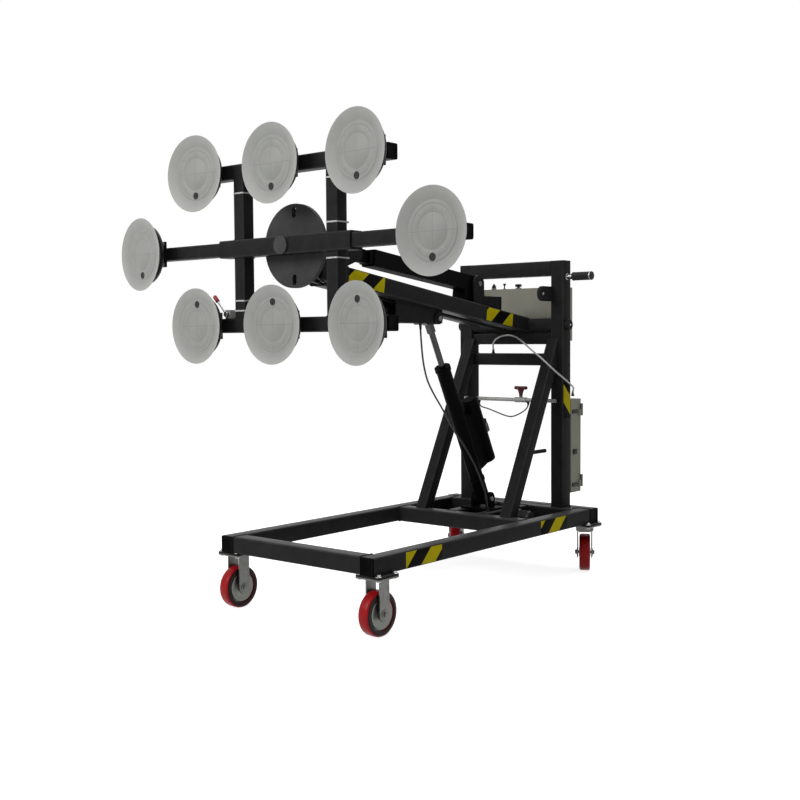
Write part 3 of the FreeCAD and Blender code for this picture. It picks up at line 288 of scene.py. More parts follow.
CABINET = surface("cabinet_paint", (0.205, 0.208, 0.160), (0.235, 0.238, 0.185), rough=0.5, specular=0.3,
                  scale=14.0, grain=1400.0, bump=0.2)
# The tread's sides are painted dark, as painted shade.
TREAD = surface("red_tread", (0.31, 0.006, 0.008), (0.38, 0.008, 0.011), rough=0.30, specular=0.12,
                scale=40.0, grain=900.0, bump=0.1, painter=shaded_tread_sides)
STEEL = surface("caster_zinc", (0.105, 0.105, 0.10), (0.155, 0.155, 0.148), rough=0.42, metallic=0.8,
                scale=60.0, grain=1500.0, bump=0.1)
CORE = surface("wheel_core", (0.105, 0.11, 0.098), (0.15, 0.155, 0.138), rough=0.28, metallic=0.8,
               scale=50.0, grain=1200.0, bump=0.15)
CHROME = surface("chrome_rod", (0.038, 0.038, 0.040), (0.055, 0.055, 0.057), rough=0.26, spread=0.06,
                 metallic=1.0, scale=40.0, stretch=(1, 1, 12), grain=900.0, bump=0.03)
BRIGHT = surface("bright_steel", (0.34, 0.34, 0.33), (0.46, 0.46, 0.45), rough=0.3, spread=0.1,
                 metallic=1.0, scale=90.0, grain=1600.0, bump=0.06)
PLASTIC = surface("black_plastic", (0.007, 0.007, 0.0075), (0.011, 0.011, 0.0115), rough=0.5, specular=0.22,
                  grain=1900.0, bump=0.25)
END_CAP = surface("end_cap_black", (0.0018, 0.0018, 0.0020), (0.0030, 0.0030, 0.0032), rough=0.6,
                  specular=0.02, grain=1900.0, bump=0.2)
GRIP = surface("grip_rubber", (0.010, 0.010, 0.010), (0.016, 0.016, 0.016), rough=0.68, specular=0.25,
               grain=1300.0, bump=0.3)
RED = surface("red_plastic", (0.36, 0.012, 0.020), (0.43, 0.017, 0.026), rough=0.42, scale=70.0,
              grain=1600.0)
MAROON = surface("maroon_plastic", (0.075, 0.004, 0.007), (0.105, 0.006, 0.010), rough=0.42, specular=0.3,
                 scale=70.0, grain=1600.0)
GREY_HOSE = surface("hose_grey", (0.115, 0.115, 0.105), (0.15, 0.15, 0.14), rough=0.45, scale=60.0,
                    grain=900.0, bump=0.08)
HOSE = surface("hose_white", (0.50, 0.49, 0.48), (0.58, 0.57, 0.56), rough=0.4, specular=0.2, scale=60.0,
               grain=900.0, bump=0.08)
CABLE = surface("cable_black", (0.010, 0.010, 0.010), (0.015, 0.015, 0.015), rough=0.5, specular=0.35,
                grain=900.0)
ALLOY = surface("pump_aluminium", (0.030, 0.030, 0.031), (0.045, 0.045, 0.046), rough=0.45, metallic=0.5,
                scale=80.0, grain=600.0, bump=0.3)
RAIL = surface("rail_grey", (0.36, 0.36, 0.35), (0.44, 0.44, 0.43), rough=0.42, metallic=0.25, scale=50.0,
               grain=1200.0)
TAPE = surface("hazard_tape", (0.46, 0.385, 0.004), (0.54, 0.45, 0.006), rough=0.42, specular=0.02,
               scale=30.0, grain=1200.0, bump=0.05, painter=hazard)


# Mesh helpers: each adds to a bmesh, and piece() turns that into an object riding on a body.

def piece(name, bm, material, body, stands_for=(), place=None, sharp=35):
    mesh = bpy.data.meshes.new(name)
    bmesh.ops.recalc_face_normals(bm, faces=bm.faces)
    bm.to_mesh(mesh)
    bm.free()
    mesh.materials.append(material)
    mesh.shade_smooth()
    mesh.set_sharp_from_angle(angle=math.radians(sharp))
    obj = bpy.data.objects.new(name, mesh)
    scene.collection.objects.link(obj)
    if place is not None:
        obj.matrix_world = place
    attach(obj, body)
    if stands_for:
        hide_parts(*stands_for)
    return obj


def edge_layer(bm):
    return bm.verts.layers.float.get("edge") or bm.verts.layers.float.new("edge")


def loft(bm, rings, caps=True, weights=None):
    """Skins a row of rings; weights mark how much each point of a ring is lightened, by edge wear and a
    painted highlight.
    """
    layer = edge_layer(bm)
    made = []
    for ring in rings:
        made.append([bm.verts.new(point) for point in ring])
        for vert, weight in zip(made[-1], weights or ()):
            vert[layer] = weight
    for first, second in zip(made, made[1:]):
        for i in range(len(first)):
            j = (i + 1) % len(first)
            bm.faces.new((first[i], first[j], second[j], second[i]))
    if caps:
        bm.faces.new(made[0])
        bm.faces.new(made[-1])
    return made


def square_ring(width, height, radius):
    """A rounded rectangle, with each point's share of edge wear and painted highlight, most in the middle of
    a corner.
    """
    steps = 4
    points, weights = [], []
    for turn, (sx, sy) in enumerate(((1, 1), (-1, 1), (-1, -1), (1, -1))):
        for i in range(steps + 1):
            angle = (turn + i / steps) * math.pi / 2
            points.append((sx * (width / 2 - radius) + radius * math.cos(angle),
                           sy * (height / 2 - radius) + radius * math.sin(angle)))
            weights.append(math.sin(math.pi * i / steps))
    return points, weights


def tube(bm, start, end, size, up=Z, radius=6.0, wall=None, cuts=(None, None)):
    """A straight tube with rounded corners, in millimetres; wall leaves it open, cuts slant its ends."""
    least_radius = 0.6
    start, end = mm(*start), mm(*end)
    along = (end - start).normalized()
    side = along.cross(Vector(up)).normalized()
    over = side.cross(along)
    width, height = size if isinstance(size, tuple) else (size, size)
    shells = []
    for shrink in (0.0, wall) if wall else (0.0,):
        points, weights = square_ring((width - 2 * shrink) * MM, (height - 2 * shrink) * MM,
                                      max(radius - shrink, least_radius) * MM)
        rings = []
        for base, cut in zip((start, end), cuts):
            ring = [base + side * a + over * b for a, b in points]
            if cut:
                normal = Vector(cut)
                ring = [p + along * ((base - p).dot(normal) / along.dot(normal)) for p in ring]
            rings.append(ring)
        shells.append(loft(bm, rings, caps=not wall, weights=weights))
    if wall:
        for k in (0, -1):
            outer, inner = shells[0][k], shells[1][k]
            for i in range(len(outer)):
                j = (i + 1) % len(outer)
                bm.faces.new((outer[i], outer[j], inner[j], inner[i]))


def circle(centre, side, over, radius, steps):
    angles = [2 * math.pi * i / steps for i in range(steps)]
    return [centre + (side * math.cos(angle) + over * math.sin(angle)) * radius for angle in angles]


def lathe(bm, profile, origin, axis, steps, closed=False):
    """Turns (along, radius) pairs, in millimetres, about an axis through origin."""
    origin, axis = mm(*origin), Vector(axis).normalized()
    side = axis.orthogonal().normalized()
    over = axis.cross(side)
    rings = []
    for along, radius in profile:
        centre = origin + axis * (along * MM)
        points = circle(centre, side, over, radius * MM, steps) if radius else [centre]
        rings.append([bm.verts.new(point) for point in points])
    pairs = list(zip(rings, rings[1:])) + ([(rings[-1], rings[0])] if closed else [])
    for first, second in pairs:
        for i in range(steps):
            j = (i + 1) % steps
            corners = [first[i % len(first)], first[j % len(first)],
                       second[j % len(second)], second[i % len(second)]]
            bm.faces.new(list(dict.fromkeys(corners)))
    if not closed:
        for ring in (rings[0], rings[-1]):
            if len(ring) > 1:
                bm.faces.new(ring)


def slab(bm, low, high, radius):
    """A block with rounded edges."""
    low, high = mm(*low), mm(*high)
    made = bmesh.ops.create_cube(bm, size=1.0)["verts"]
    for vert in made:
        vert.co = Vector([(a + b) / 2 + c * (b - a) for a, b, c in zip(low, high, vert.co)])
    edges = list({edge for vert in made for edge in vert.link_edges})
    bmesh.ops.bevel(bm, geom=edges, offset=radius * MM, segments=3, profile=0.5, affect="EDGES")


def bolt(bm, at, axis, across, head):
    """A hexagon head with a chamfered top on a washer."""
    washer = 2.2
    disc = [(0, across * 0.86), (1.6, across * 0.9), (washer, across * 0.84), (washer, 0)]
    lathe(bm, disc, at, axis, steps=20)
    corner, top = across / math.sqrt(3), washer + head
    hexagon = [(washer - 1.0, corner), (washer + head * 0.8, corner), (top, corner * 0.84), (top, 0)]
    lathe(bm, hexagon, at, axis, steps=6)


def insert_cap(bm, at, axis, size, up):
    """A push-in plastic end for a square tube, from rings (along, shrink)."""
    outline = ((-8.0, 8.0), (0.0, 8.0), (0.0, 1.0), (2.0, 1.0), (3.2, 3.4), (3.2, 16.0), (2.4, 18.0))
    corner, least_corner = 5.5, 1.0
    at, axis, up = Vector(at), Vector(axis), Vector(up)
    side = axis.cross(up)
    rings = []
    for along, shrink in outline:
        points, _ = square_ring(size - shrink, size - shrink, max(corner - shrink / 2, least_corner))
        rings.append([mm(*(at + axis * along + side * a + up * b)) for a, b in points])
    loft(bm, rings)


def bead(bm, corners):
    """A weld bead with fine ripples, along the straight runs of a closed loop of points."""
    radius, ripple, hollow_share, sides = 2.6, 4.0, 0.8, 6
    for start, end in zip(corners, corners[1:] + corners[:1]):
        along = (end - start).normalized()
        side = along.orthogonal().normalized()
        over = along.cross(side)
        count = max(2, int((end - start).length / ripple))
        rings = []
        for i in range(count + 1):
            size = radius * (1.0 if i % 2 else hollow_share)
            centre = start + (end - start) * (i / count)
            rings.append([mm(*point) for point in circle(centre, side, over, size, sides)])
        loft(bm, rings)


def square_bead(bm, centre, first, second, half):
    centre, first, second = Vector(centre), Vector(first) * half, Vector(second) * half
    bead(bm, [centre + first + second, centre - first + second,
              centre - first - second, centre + first - second])


def finish_node(name, material, width):
    """Gives a CAD node its material and softened edges."""
    obj = nodes[name]
    obj.data.materials.clear()
    obj.data.materials.append(material)
    soft = obj.modifiers.new("soft_edges", "BEVEL")
    soft.width = width * MM
    soft.segments = 2
    soft.limit_method = "ANGLE"
    soft.angle_limit = math.radians(40)


# Camera

CAMERA_AT = (2.7364, -3.4077, 0.9591)
YAW, PITCH, ROLL = math.radians(39.858), math.radians(-3.073), math.radians(-0.384)
level = Vector((math.cos(YAW), math.sin(YAW), 0))
forward = Vector((-math.sin(YAW) * math.cos(PITCH), math.cos(YAW) * math.cos(PITCH), math.sin(PITCH)))
upright = level.cross(forward)
right = level * math.cos(ROLL) + upright * math.sin(ROLL)
above = upright * math.cos(ROLL) - level * math.sin(ROLL)
camera = bpy.data.objects.new("camera", bpy.data.cameras.new("camera"))
camera.data.lens = 51.72
camera.data.sensor_width = 36.0
scene.collection.objects.link(camera)
placed = Matrix((right, above, -forward)).transposed().to_4x4()
placed.translation = CAMERA_AT
camera.matrix_world = placed
scene.camera = camera


# Cords

VACUUM_HOSE = [(-95, 606, 893.3), (-95, 606, 909), (-92, 598, 925), (-82, 590, 943), (-58, 585, 959),
               (-25, 580, 968), (15, 573, 970), (55, 565, 960), (95, 555, 936), (140, 541, 908),
               (190, 527, 881), (238, 512, 851), (258, 540, 820), (274, 575, 793), (281, 610, 769.5),
               (276.5, 640, 757), (266, 664, 750), (253.5, 680, 744.5), (246.5, 688, 733), (245, 690, 717)]
SLACK_CABLE = [(-152, 582, 691.7), (-152, 582, 677), (-140, 578, 665.5), (-105, 574, 660), (-60, 571.5, 647),
               (-10, 570, 632), (22, 570, 628), (50, 571, 637), (74, 574.5, 650), (91, 579.5, 664),
               (97, 582, 678), (97, 582, 691.7)]
LIFT_CABLE = [(30, -44.7, 1014.8), (30, -42.7, 976.6), (30, -37.7, 931.4), (30, -31.8, 886.2),
              (31, -23.8, 846), (32, -5.8, 795.7), (33, 31.2, 745.5), (34, 73.2, 698.3), (34, 114.1, 650.1),
              (36, 150.1, 599.9), (39, 200.1, 551.6), (43, 243.1, 499.4), (50, 277.1, 446.2), (58, 300, 394),
              (66, 318, 343.8), (71, 324, 300.5), (73, 326, 263.3)]
HOSE_WIDTH, SLACK_WIDTH, LIFT_WIDTH = 7.0, 6.0, 7.0
OFF_BOOM, OFF_BASE = (0, 0.08, -1), (0, -0.05, 1)


def route(name, points, diameter):
    curve = bpy.data.curves.new(name, "CURVE")
    curve.dimensions = "3D"
    curve.resolution_u = 8
    curve.bevel_depth = diameter * MM / 2
    curve.bevel_resolution = 4
    curve.use_fill_caps = True
    line = curve.splines.new("NURBS")
    line.points.add(len(points) - 1)
    for control, point in zip(line.points, points):
        control.co = (*mm(*point), 1.0)
    line.order_u = 3
    line.use_endpoint_u = True
    obj = bpy.data.objects.new(name, curve)
    scene.collection.objects.link(obj)
    return obj


def as_mesh(curve):
    bpy.context.view_layer.update()
    return bpy.data.meshes.new_from_object(curve.evaluated_get(bpy.context.evaluated_depsgraph_get()))


def sleeve(name, at, axis, diameter, length, body):
    """A ribbed sleeve that tapers off a cord's housing."""
    collar, ribs, narrowing = 4.0, 4, 0.45
    radius = diameter / 2
    step = (length - collar) / ribs
    profile = [(-1.0, radius + 3.5), (3.0, radius + 3.5), (collar, radius + 2.6)]
    for i in range(ribs):
        along = collar + step * i
        wide = radius + 2.4 - narrowing * i
        profile += [(along + 0.1 * step, wide), (along + 0.6 * step, wide - 0.1),
                    (along + 0.7 * step, wide - 0.8)]
    profile += [(length, radius + 0.4), (length, radius * 0.6)]
    bm = bmesh.new()
    lathe(bm, profile, at, axis, steps=24)
    return piece(name, bm, PLASTIC, body)


hose = route("vacuum_hose_line", VACUUM_HOSE, HOSE_WIDTH)
hose.data.materials.append(HOSE)
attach(hose, "chassis")
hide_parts("vacuum_hose")
hose_ends = [sleeve("hose_sleeve_mast", VACUUM_HOSE[0], Z, HOSE_WIDTH, length=20.0, body="chassis"),
             sleeve("hose_sleeve_cabinet", VACUUM_HOSE[-1], Z, HOSE_WIDTH, length=18.0, body="chassis")]

slack = route("slack_cable_line", SLACK_CABLE, SLACK_WIDTH)
slack.data.materials.append(GREY_HOSE)
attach(slack, "chassis")
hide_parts("slack_cable")
slack_ends = [sleeve("slack_sleeve_left", SLACK_CABLE[0], DOWN, SLACK_WIDTH, length=14.0, body="chassis"),
              sleeve("slack_sleeve_right", SLACK_CABLE[-1], DOWN, SLACK_WIDTH, length=14.0, body="chassis")]

lead = route("lift_cable_route", LIFT_CABLE, LIFT_WIDTH)
lead_tube = as_mesh(lead)
lead.data.bevel_depth = 0.0
lead_path = [tuple(vert.co) for vert in as_mesh(lead).vertices]
bpy.data.objects.remove(lead)
lead_tube.materials.clear()
lead_tube.materials.append(CABLE)
lead_tube.shade_smooth()
lift_lead = bpy.data.objects.new("lift_cable_line", lead_tube)
scene.collection.objects.link(lift_lead)
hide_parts("lift_cable")
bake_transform(lift_lead)
lift_ends = [sleeve("lift_sleeve_boom", LIFT_CABLE[0], OFF_BOOM, LIFT_WIDTH, length=24.0, body="boom"),
             sleeve("lift_sleeve_deck", LIFT_CABLE[-1], OFF_BASE, LIFT_WIDTH, length=22.0, body="chassis")]


# Trolley base

bm = bmesh.new()
for x in both(RAIL_X):
    tube(bm, (x, RAIL_FRONT, BASE_Z), (x, RAIL_REAR, BASE_Z), TUBE)
    for y in both(CASTER_Y):
        slab(bm, (x - PAD_HALF, y - PAD_HALF, BASE_BOTTOM - PAD_THICKNESS),
             (x + PAD_HALF, y + PAD_HALF, BASE_BOTTOM), radius=1.5)
for x in both(FOOT_X):
    tube(bm, (x, FOOT_FRONT, FOOT_Z), (x, FOOT_REAR, FOOT_Z), FOOT_TUBE)
piece("base_rail_pair", bm, PAINT, "chassis", ["base_rails"])
bm = bmesh.new()
tube(bm, (-RAIL_OUTER, REAR_TUBE_Y, BASE_Z), (RAIL_OUTER, REAR_TUBE_Y, BASE_Z), TUBE)
for y in CROSS_TUBES_Y:
    tube(bm, (-RAIL_INNER, y, BASE_Z), (RAIL_INNER, y, BASE_Z), TUBE)
piece("base_cross_members", bm, PAINT, "chassis", ["base_cross_tubes"])
bm = bmesh.new()
for sign in SIDES:
    insert_cap(bm, (sign * RAIL_X, RAIL_FRONT, BASE_Z), FRONT, TUBE, Z)
    insert_cap(bm, (sign * RAIL_OUTER, REAR_TUBE_Y, BASE_Z), (sign, 0, 0), TUBE, Z)
piece("base_end_caps", bm, END_CAP, "chassis")
bm = bmesh.new()
for x in both(RAIL_INNER):
    for y in CROSS_TUBES_Y:
        square_bead(bm, (x, y, BASE_Z), Y, Z, HALF_TUBE)
for x in both(RAIL_X):
    square_bead(bm, (x, RAIL_REAR, BASE_Z), X, Z, HALF_TUBE)
for x in both(FOOT_X):
    for y in (FOOT_FRONT, FOOT_REAR):
        square_bead(bm, (x, y, FOOT_Z), X, Z, FOOT_TUBE / 2)
for sign in SIDES:
    square_bead(bm, (sign * POST_X, POST_Y, BASE_TOP), X, Y, HALF_TUBE)
    for z, size in RUNG_HEIGHTS_AND_TUBES:
        square_bead(bm, (sign * POST_INNER, POST_BACK - size / 2, z), Y, Z, size / 2)
piece("chassis_welds", bm, PAINT, "chassis")
# The deck plate takes the painted shade colour.
finish_node("deck_plate", SHADED_DECK, width=0.8)


# Mast

SHAFT_CAP_DEPTH = 15.4
SHAFT_CAP = [(0, 15), (0, 21), (1.2, 22), (13, 22), (SHAFT_CAP_DEPTH, 19.5), (SHAFT_CAP_DEPTH, 0)]
LUG_BOLT = [(0, 5.2), (1.4, 5.2), (2.2, 4.2), (2.2, 0)]
SHAFT_NIPPLE = [(0, 4), (1, 4), (2, 2.6), (2, 0)]
bm = bmesh.new()
for x in both(POST_X):
    tube(bm, (x, POST_Y, BASE_TOP), (x, POST_Y, MAST_TOP), TUBE, up=Y)
piece("mast_post_pair", bm, PAINT, "chassis", ["mast_posts"])
bm = bmesh.new()
for z, size in ((MAST_TOP - HALF_TUBE, TUBE), *RUNG_HEIGHTS_AND_TUBES):
    tube(bm, (-POST_INNER, POST_BACK - size / 2, z), (POST_INNER, POST_BACK - size / 2, z), size)
piece("mast_cross_members", bm, PAINT, "chassis", ["mast_cross_tubes"])
bm = bmesh.new()
for x in both(BRACE_X):
    tube(bm, (x, BRACE_FOOT_Y, BASE_TOP), (x, POST_FRONT, BRACE_TOP), BRACE_TUBE, up=FRONT, cuts=(Z, Y))
piece("mast_brace_pair", bm, PAINT, "chassis", ["mast_braces"])
finish_node("mast_fittings", PAINT, width=1.2)
finish_node("chassis_pins", BRIGHT, width=1.0)
bm = bmesh.new()
for sign in SIDES:
    lathe(bm, SHAFT_CAP, (sign * POST_OUTER, POST_Y, PIVOT_Z), (sign, 0, 0), steps=36)
piece("pivot_shaft_caps", bm, PAINT, "chassis")
bm = bmesh.new()
for sign in SIDES:
    lathe(bm, LUG_BOLT, (sign * LUG_X, LUG_Y, LUG_Z), (sign, 0, 0), steps=20)
    lathe(bm, SHAFT_NIPPLE, (sign * (POST_OUTER + SHAFT_CAP_DEPTH), POST_Y, PIVOT_Z), (sign, 0, 0), steps=16)
piece("mast_lug_bolts", bm, BRIGHT, "chassis")


# Push handles

GRIP_X, GRIP_RING_X = 288, 369
RIB_START, RIB_PITCH, RIB_COUNT = 11, 5, 13
GROOVE_RADIUS, RIB_RADIUS = 16.0, 16.9
STUB = [(0, 13), (1.5, 13), (2.2, 12), (2.2, 11), (27, 11), (27, 0)]
GRIP_RING = [(0, 17.0), (0.4, 17.7), (3.6, 17.7), (4, 17.0)]
grip = [(0, 9), (0, 15.5), (1.5, 17.3), (7, 17.5), (9, 16.2)]
for i in range(RIB_COUNT):
    start = RIB_START + i * RIB_PITCH
    grip += [(start, GROOVE_RADIUS), (start + 0.8, RIB_RADIUS),
             (start + 2.8, RIB_RADIUS), (start + 3.6, GROOVE_RADIUS)]
grip += [(78, GROOVE_RADIUS), (79.5, 17.4), (86, 17.4), (89.5, 15.0), (91, 10.5), (91, 0)]
for sign, side in NAMED_SIDES:
    bm = bmesh.new()
    lathe(bm, grip, (sign * GRIP_X, POST_Y, HANDLE_Z), (sign, 0, 0), steps=48)
    piece("push_grip_" + side, bm, GRIP, "chassis", ["push_handles"] if sign > 0 else ())
    bm = bmesh.new()
    lathe(bm, STUB, (sign * POST_OUTER, POST_Y, HANDLE_Z), (sign, 0, 0), steps=40)
    lathe(bm, GRIP_RING, (sign * GRIP_RING_X, POST_Y, HANDLE_Z), (sign, 0, 0), steps=48)
    piece("push_stub_" + side, bm, BRIGHT, "chassis")


# Hose valve

VALVE_X, VALVE_Y, VALVE_Z = 61, 582, 714.5
VALVE_BAR_Z, VALVE_BAR_HALF = 750, 30
VALVE_STEM = [(0, 5), (0.6, 7.2), (12, 8.6), (22, 11.5), (30, 15.5), (36, 16.5), (39, 14), (39, 0)]
VALVE_BAR = [(0, 4.5), (1.2, 6.6), (4, 7.5), (26, 6.9), (34, 6.9), (56, 7.5), (58.8, 6.6), (60, 4.5)]
finish_node("hose_rail", RAIL, width=0.8)
bm = bmesh.new()
lathe(bm, VALVE_STEM, (VALVE_X, VALVE_Y, VALVE_Z), Z, steps=32)
lathe(bm, VALVE_BAR, (VALVE_X - VALVE_BAR_HALF, VALVE_Y, VALVE_BAR_Z), X, steps=32)
piece("valve_bar", bm, MAROON, "valve_handle", ["valve_handle"])


# Control box

BOX_SIDE, BOX_BACK, BOX_TOP = 215, 735, 1165
LIP_SIDE, LIP_DEPTH, LIP_LOW, LIP_HIGH = 216, 0.8, 944.5, 946.9
SCREW_X, BACK_SCREWS_Z, TOP_SCREWS_Y = 205, (957, 1155), (662, 723)
SCREW = [(0, 4.2), (1.2, 4.0), (2.0, 2.6), (2.2, 0)]
LEAF_THICKNESS, LEAF_FRONT, LEAF_BACK = 2, 668, 690
LEAVES_Z, LEAF_HALF_HEIGHT = (1000, 1110), 9
VENT_START, VENT_PITCH, VENT_COUNT = -60, 18, 7
VENT_WIDTH, VENT_PROUD, VENT_LOW, VENT_HIGH = 10, 1.2, 975, 1015
BOOT_AT, TOGGLE_AT = (-157, 700, 1173), (-102, 700, 1169)
BOOT = [(-4.0, 6.9), (0, 7.9), (2.6, 7.6), (3.0, 10.4), (4.2, 10.8), (5.6, 9.2), (7.4, 9.4), (8.6, 7.6),
        (10.4, 7.8), (11.6, 6.0), (13.2, 6.1), (14.6, 4.4), (18.0, 3.9), (18.5, 0)]
TOGGLE = [(-2.0, 3.4), (0, 3.95), (2.4, 3.2), (3.2, 2.5), (10.0, 2.5), (13.0, 3.6), (17.4, 6.0), (20.6, 6.4),
          (22.0, 5.6), (22.4, 4.2), (22.4, 0)]
finish_node("control_box", BOX, width=1.0)
finish_node("emergency_stop", PLASTIC, width=0.6)
bm = bmesh.new()
slab(bm, (-LIP_SIDE, BOX_BACK - LIP_DEPTH, LIP_LOW), (LIP_SIDE, BOX_BACK, LIP_HIGH), radius=0.3)
for x in both(SCREW_X):
    for z in BACK_SCREWS_Z:
        lathe(bm, SCREW, (x, BOX_BACK, z), Y, steps=18)
    for y in TOP_SCREWS_Y:
        lathe(bm, SCREW, (x, y, BOX_TOP), Z, steps=18)
piece("control_box_screws", bm, BRIGHT, "chassis")
bm = bmesh.new()
for left in (-BOX_SIDE - LEAF_THICKNESS, BOX_SIDE):
    for z in LEAVES_Z:
        slab(bm, (left, LEAF_FRONT, z - LEAF_HALF_HEIGHT),
             (left + LEAF_THICKNESS, LEAF_BACK, z + LEAF_HALF_HEIGHT), radius=0.8)
for i in range(VENT_COUNT):
    left = VENT_START + i * VENT_PITCH
    slab(bm, (left, BOX_BACK, VENT_LOW), (left + VENT_WIDTH, BOX_BACK + VENT_PROUD, VENT_HIGH), radius=0.5)
piece("control_box_trim", bm, PLASTIC, "chassis")
bm = bmesh.new()
lathe(bm, BOOT, BOOT_AT, Z, steps=40)
piece("joystick_boot", bm, PLASTIC, "joystick", ["joystick"])
bm = bmesh.new()
lathe(bm, TOGGLE, TOGGLE_AT, Z, steps=32)
piece("toggle_bat", bm, PLASTIC, "toggle", ["toggle"])


# Equipment cabinet

CABINET_SIDE = 258.5
LATCH_Y, LATCH_Z = 683, 487
LATCH_HALF_DEPTH, LATCH_HALF_HEIGHT, LATCH_THICKNESS = 15, 11, 5
LATCH_KEY_OUT, LATCH_BAR_OUT, LATCH_BAR_THICKNESS = 4.5, 3.5, 5
LATCH_BAR_FRONT, LATCH_BAR_BACK, LATCH_BAR_HALF_HEIGHT = 666, 690, 3
LATCH_KEY = [(0, 7.0), (2.0, 7.0), (3.0, 5.8), (3.0, 0)]
HINGES_Z, HINGE_HALF_HEIGHT, HINGE_THICKNESS = (351, 653), 8, 4.5
HINGE_FRONT, HINGE_BACK = 660, 700
finish_node("equipment_cabinet", CABINET, width=1.0)
finish_node("cabinet_door", CABINET, width=0.8)
bm = bmesh.new()
slab(bm, (CABINET_SIDE, LATCH_Y - LATCH_HALF_DEPTH, LATCH_Z - LATCH_HALF_HEIGHT),
     (CABINET_SIDE + LATCH_THICKNESS, LATCH_Y + LATCH_HALF_DEPTH, LATCH_Z + LATCH_HALF_HEIGHT), radius=1.2)
lathe(bm, LATCH_KEY, (CABINET_SIDE + LATCH_KEY_OUT, LATCH_Y, LATCH_Z), X, steps=28)
bar_x = CABINET_SIDE + LATCH_BAR_OUT
slab(bm, (bar_x, LATCH_BAR_FRONT, LATCH_Z - LATCH_BAR_HALF_HEIGHT),
     (bar_x + LATCH_BAR_THICKNESS, LATCH_BAR_BACK, LATCH_Z + LATCH_BAR_HALF_HEIGHT), radius=1.0)
for z in HINGES_Z:
    slab(bm, (CABINET_SIDE, HINGE_FRONT, z - HINGE_HALF_HEIGHT),
         (CABINET_SIDE + HINGE_THICKNESS, HINGE_BACK, z + HINGE_HALF_HEIGHT), radius=1.2)
piece("cabinet_latch", bm, PLASTIC, "chassis")


# Pump

PUMP_Y, PUMP_Z, PUMP_END = 430, 240, 110
FIN_START, FIN_PITCH, FIN_COUNT = 150, 5.6, 9
FIN = [(0, 21.5), (0, 25.5), (0.8, 26.0), (1.6, 25.5), (1.6, 21.5)]
HEAD_BOLT_APART, HEAD_BOLTS_Z = 22, (228, 254)
finish_node("vacuum_pump", ALLOY, width=1.5)
bm = bmesh.new()
for i in range(FIN_COUNT):
    lathe(bm, FIN, (FIN_START + i * FIN_PITCH, PUMP_Y, PUMP_Z), X, steps=36)
for dy in both(HEAD_BOLT_APART):
    for z in HEAD_BOLTS_Z:
        bolt(bm, (PUMP_END, PUMP_Y + dy, z), (-1, 0, 0), across=8.0, head=4.0)
piece("pump_fins", bm, ALLOY, "chassis")


# Boom

COS, SIN = math.cos(BOOM_SLOPE), math.sin(BOOM_SLOPE)
BOOM_UP = (0, SIN, COS)


def on_boom(x, reach, lift):
    return (x, POST_Y - reach * COS + lift * SIN, PIVOT_Z + reach * SIN + lift * COS)


bm = bmesh.new()
for x in both(BOOM_X):
    tube(bm, on_boom(x, BOOM_START, 0), on_boom(x, BOOM_END, 0), TUBE, up=BOOM_UP)
piece("boom_tube_pair", bm, PAINT, "boom", ["boom_tubes"])
for name in ("boom_pivot_tube", "boom_nose", "lift_bracket", "tilt_tower"):
    finish_node(name, PAINT, width=1.2)
finish_node("boom_pins", STEEL, width=1.0)
bm = bmesh.new()
for x in both(BOOM_X):
    square_bead(bm, on_boom(x, BOOM_END, 0), X, BOOM_UP, HALF_TUBE)
piece("boom_welds", bm, PAINT, "boom")


# Actuators: the lift actuator's trim is drawn along its own axis, Y, from the foot pin.

RISE = math.atan2(LIFT_EYE_Z - LIFT_FOOT_Z, LIFT_FOOT_Y - LIFT_EYE_Y)
ON_LIFT = Matrix(((1, 0, 0), (0, -math.cos(RISE), math.sin(RISE)),
                  (0, math.sin(RISE), math.cos(RISE)))).to_4x4()
ON_LIFT.translation = mm(0, LIFT_FOOT_Y, LIFT_FOOT_Z)
BARREL_COLLARS = ((84, 16), (586, 20))
MOTOR_Z, MOTOR_TOP, MOTOR_END = 93, 391, 126
MOTOR_COLLAR = [(0, 36.5), (0, 37.6), (1, 38.2), (11, 38.2), (12, 37.6), (12, 36.5)]
MOTOR_DOME = [(0, 27), (3, 32.5), (9, 36), (16, 37.6), (24, 37.6), (25, 36.9)]
SWITCH_BOXES = (((-8, 262, 127), (22, 298, 139)), ((4, 268, 138), (18, 290, 143)))
CLAMP_LOW, CLAMP_HIGH, CLAMP_SCREW_AT = (17, 248, 112), (34, 284, 128), (34, 266, 119)
CLAMP_SCREW = [(0, 5), (2, 5), (3, 3.8), (3, 0)]
for name in ("actuator_foot", "lift_barrel", "lift_motor", "tilt_barrel", "tilt_ram"):
    finish_node(name, ACTUATOR, width=1.2)
finish_node("lift_rod", CHROME, width=0.8)
bm = bmesh.new()
for reach, length in BARREL_COLLARS:
    collar = [(0, 28), (0, 31), (1.5, 32), (length - 1.5, 32), (length, 31), (length, 28)]
    lathe(bm, collar, (0, reach, 0), Y, steps=48)
lathe(bm, MOTOR_COLLAR, (0, MOTOR_TOP, MOTOR_Z), Y, steps=56)
lathe(bm, MOTOR_DOME, (0, MOTOR_END, MOTOR_Z), Y, steps=56)
piece("lift_collars", bm, ACTUATOR, "lift_barrel", (), ON_LIFT)
bm = bmesh.new()
for low, high in SWITCH_BOXES:
    slab(bm, low, high, radius=2.0)
piece("motor_switch", bm, PLASTIC, "lift_barrel", (), ON_LIFT)
bm = bmesh.new()
slab(bm, CLAMP_LOW, CLAMP_HIGH, radius=2.5)
lathe(bm, CLAMP_SCREW, CLAMP_SCREW_AT, X, steps=20)
piece("motor_clamp", bm, STEEL, "lift_barrel", (), ON_LIFT)


# Head and rack

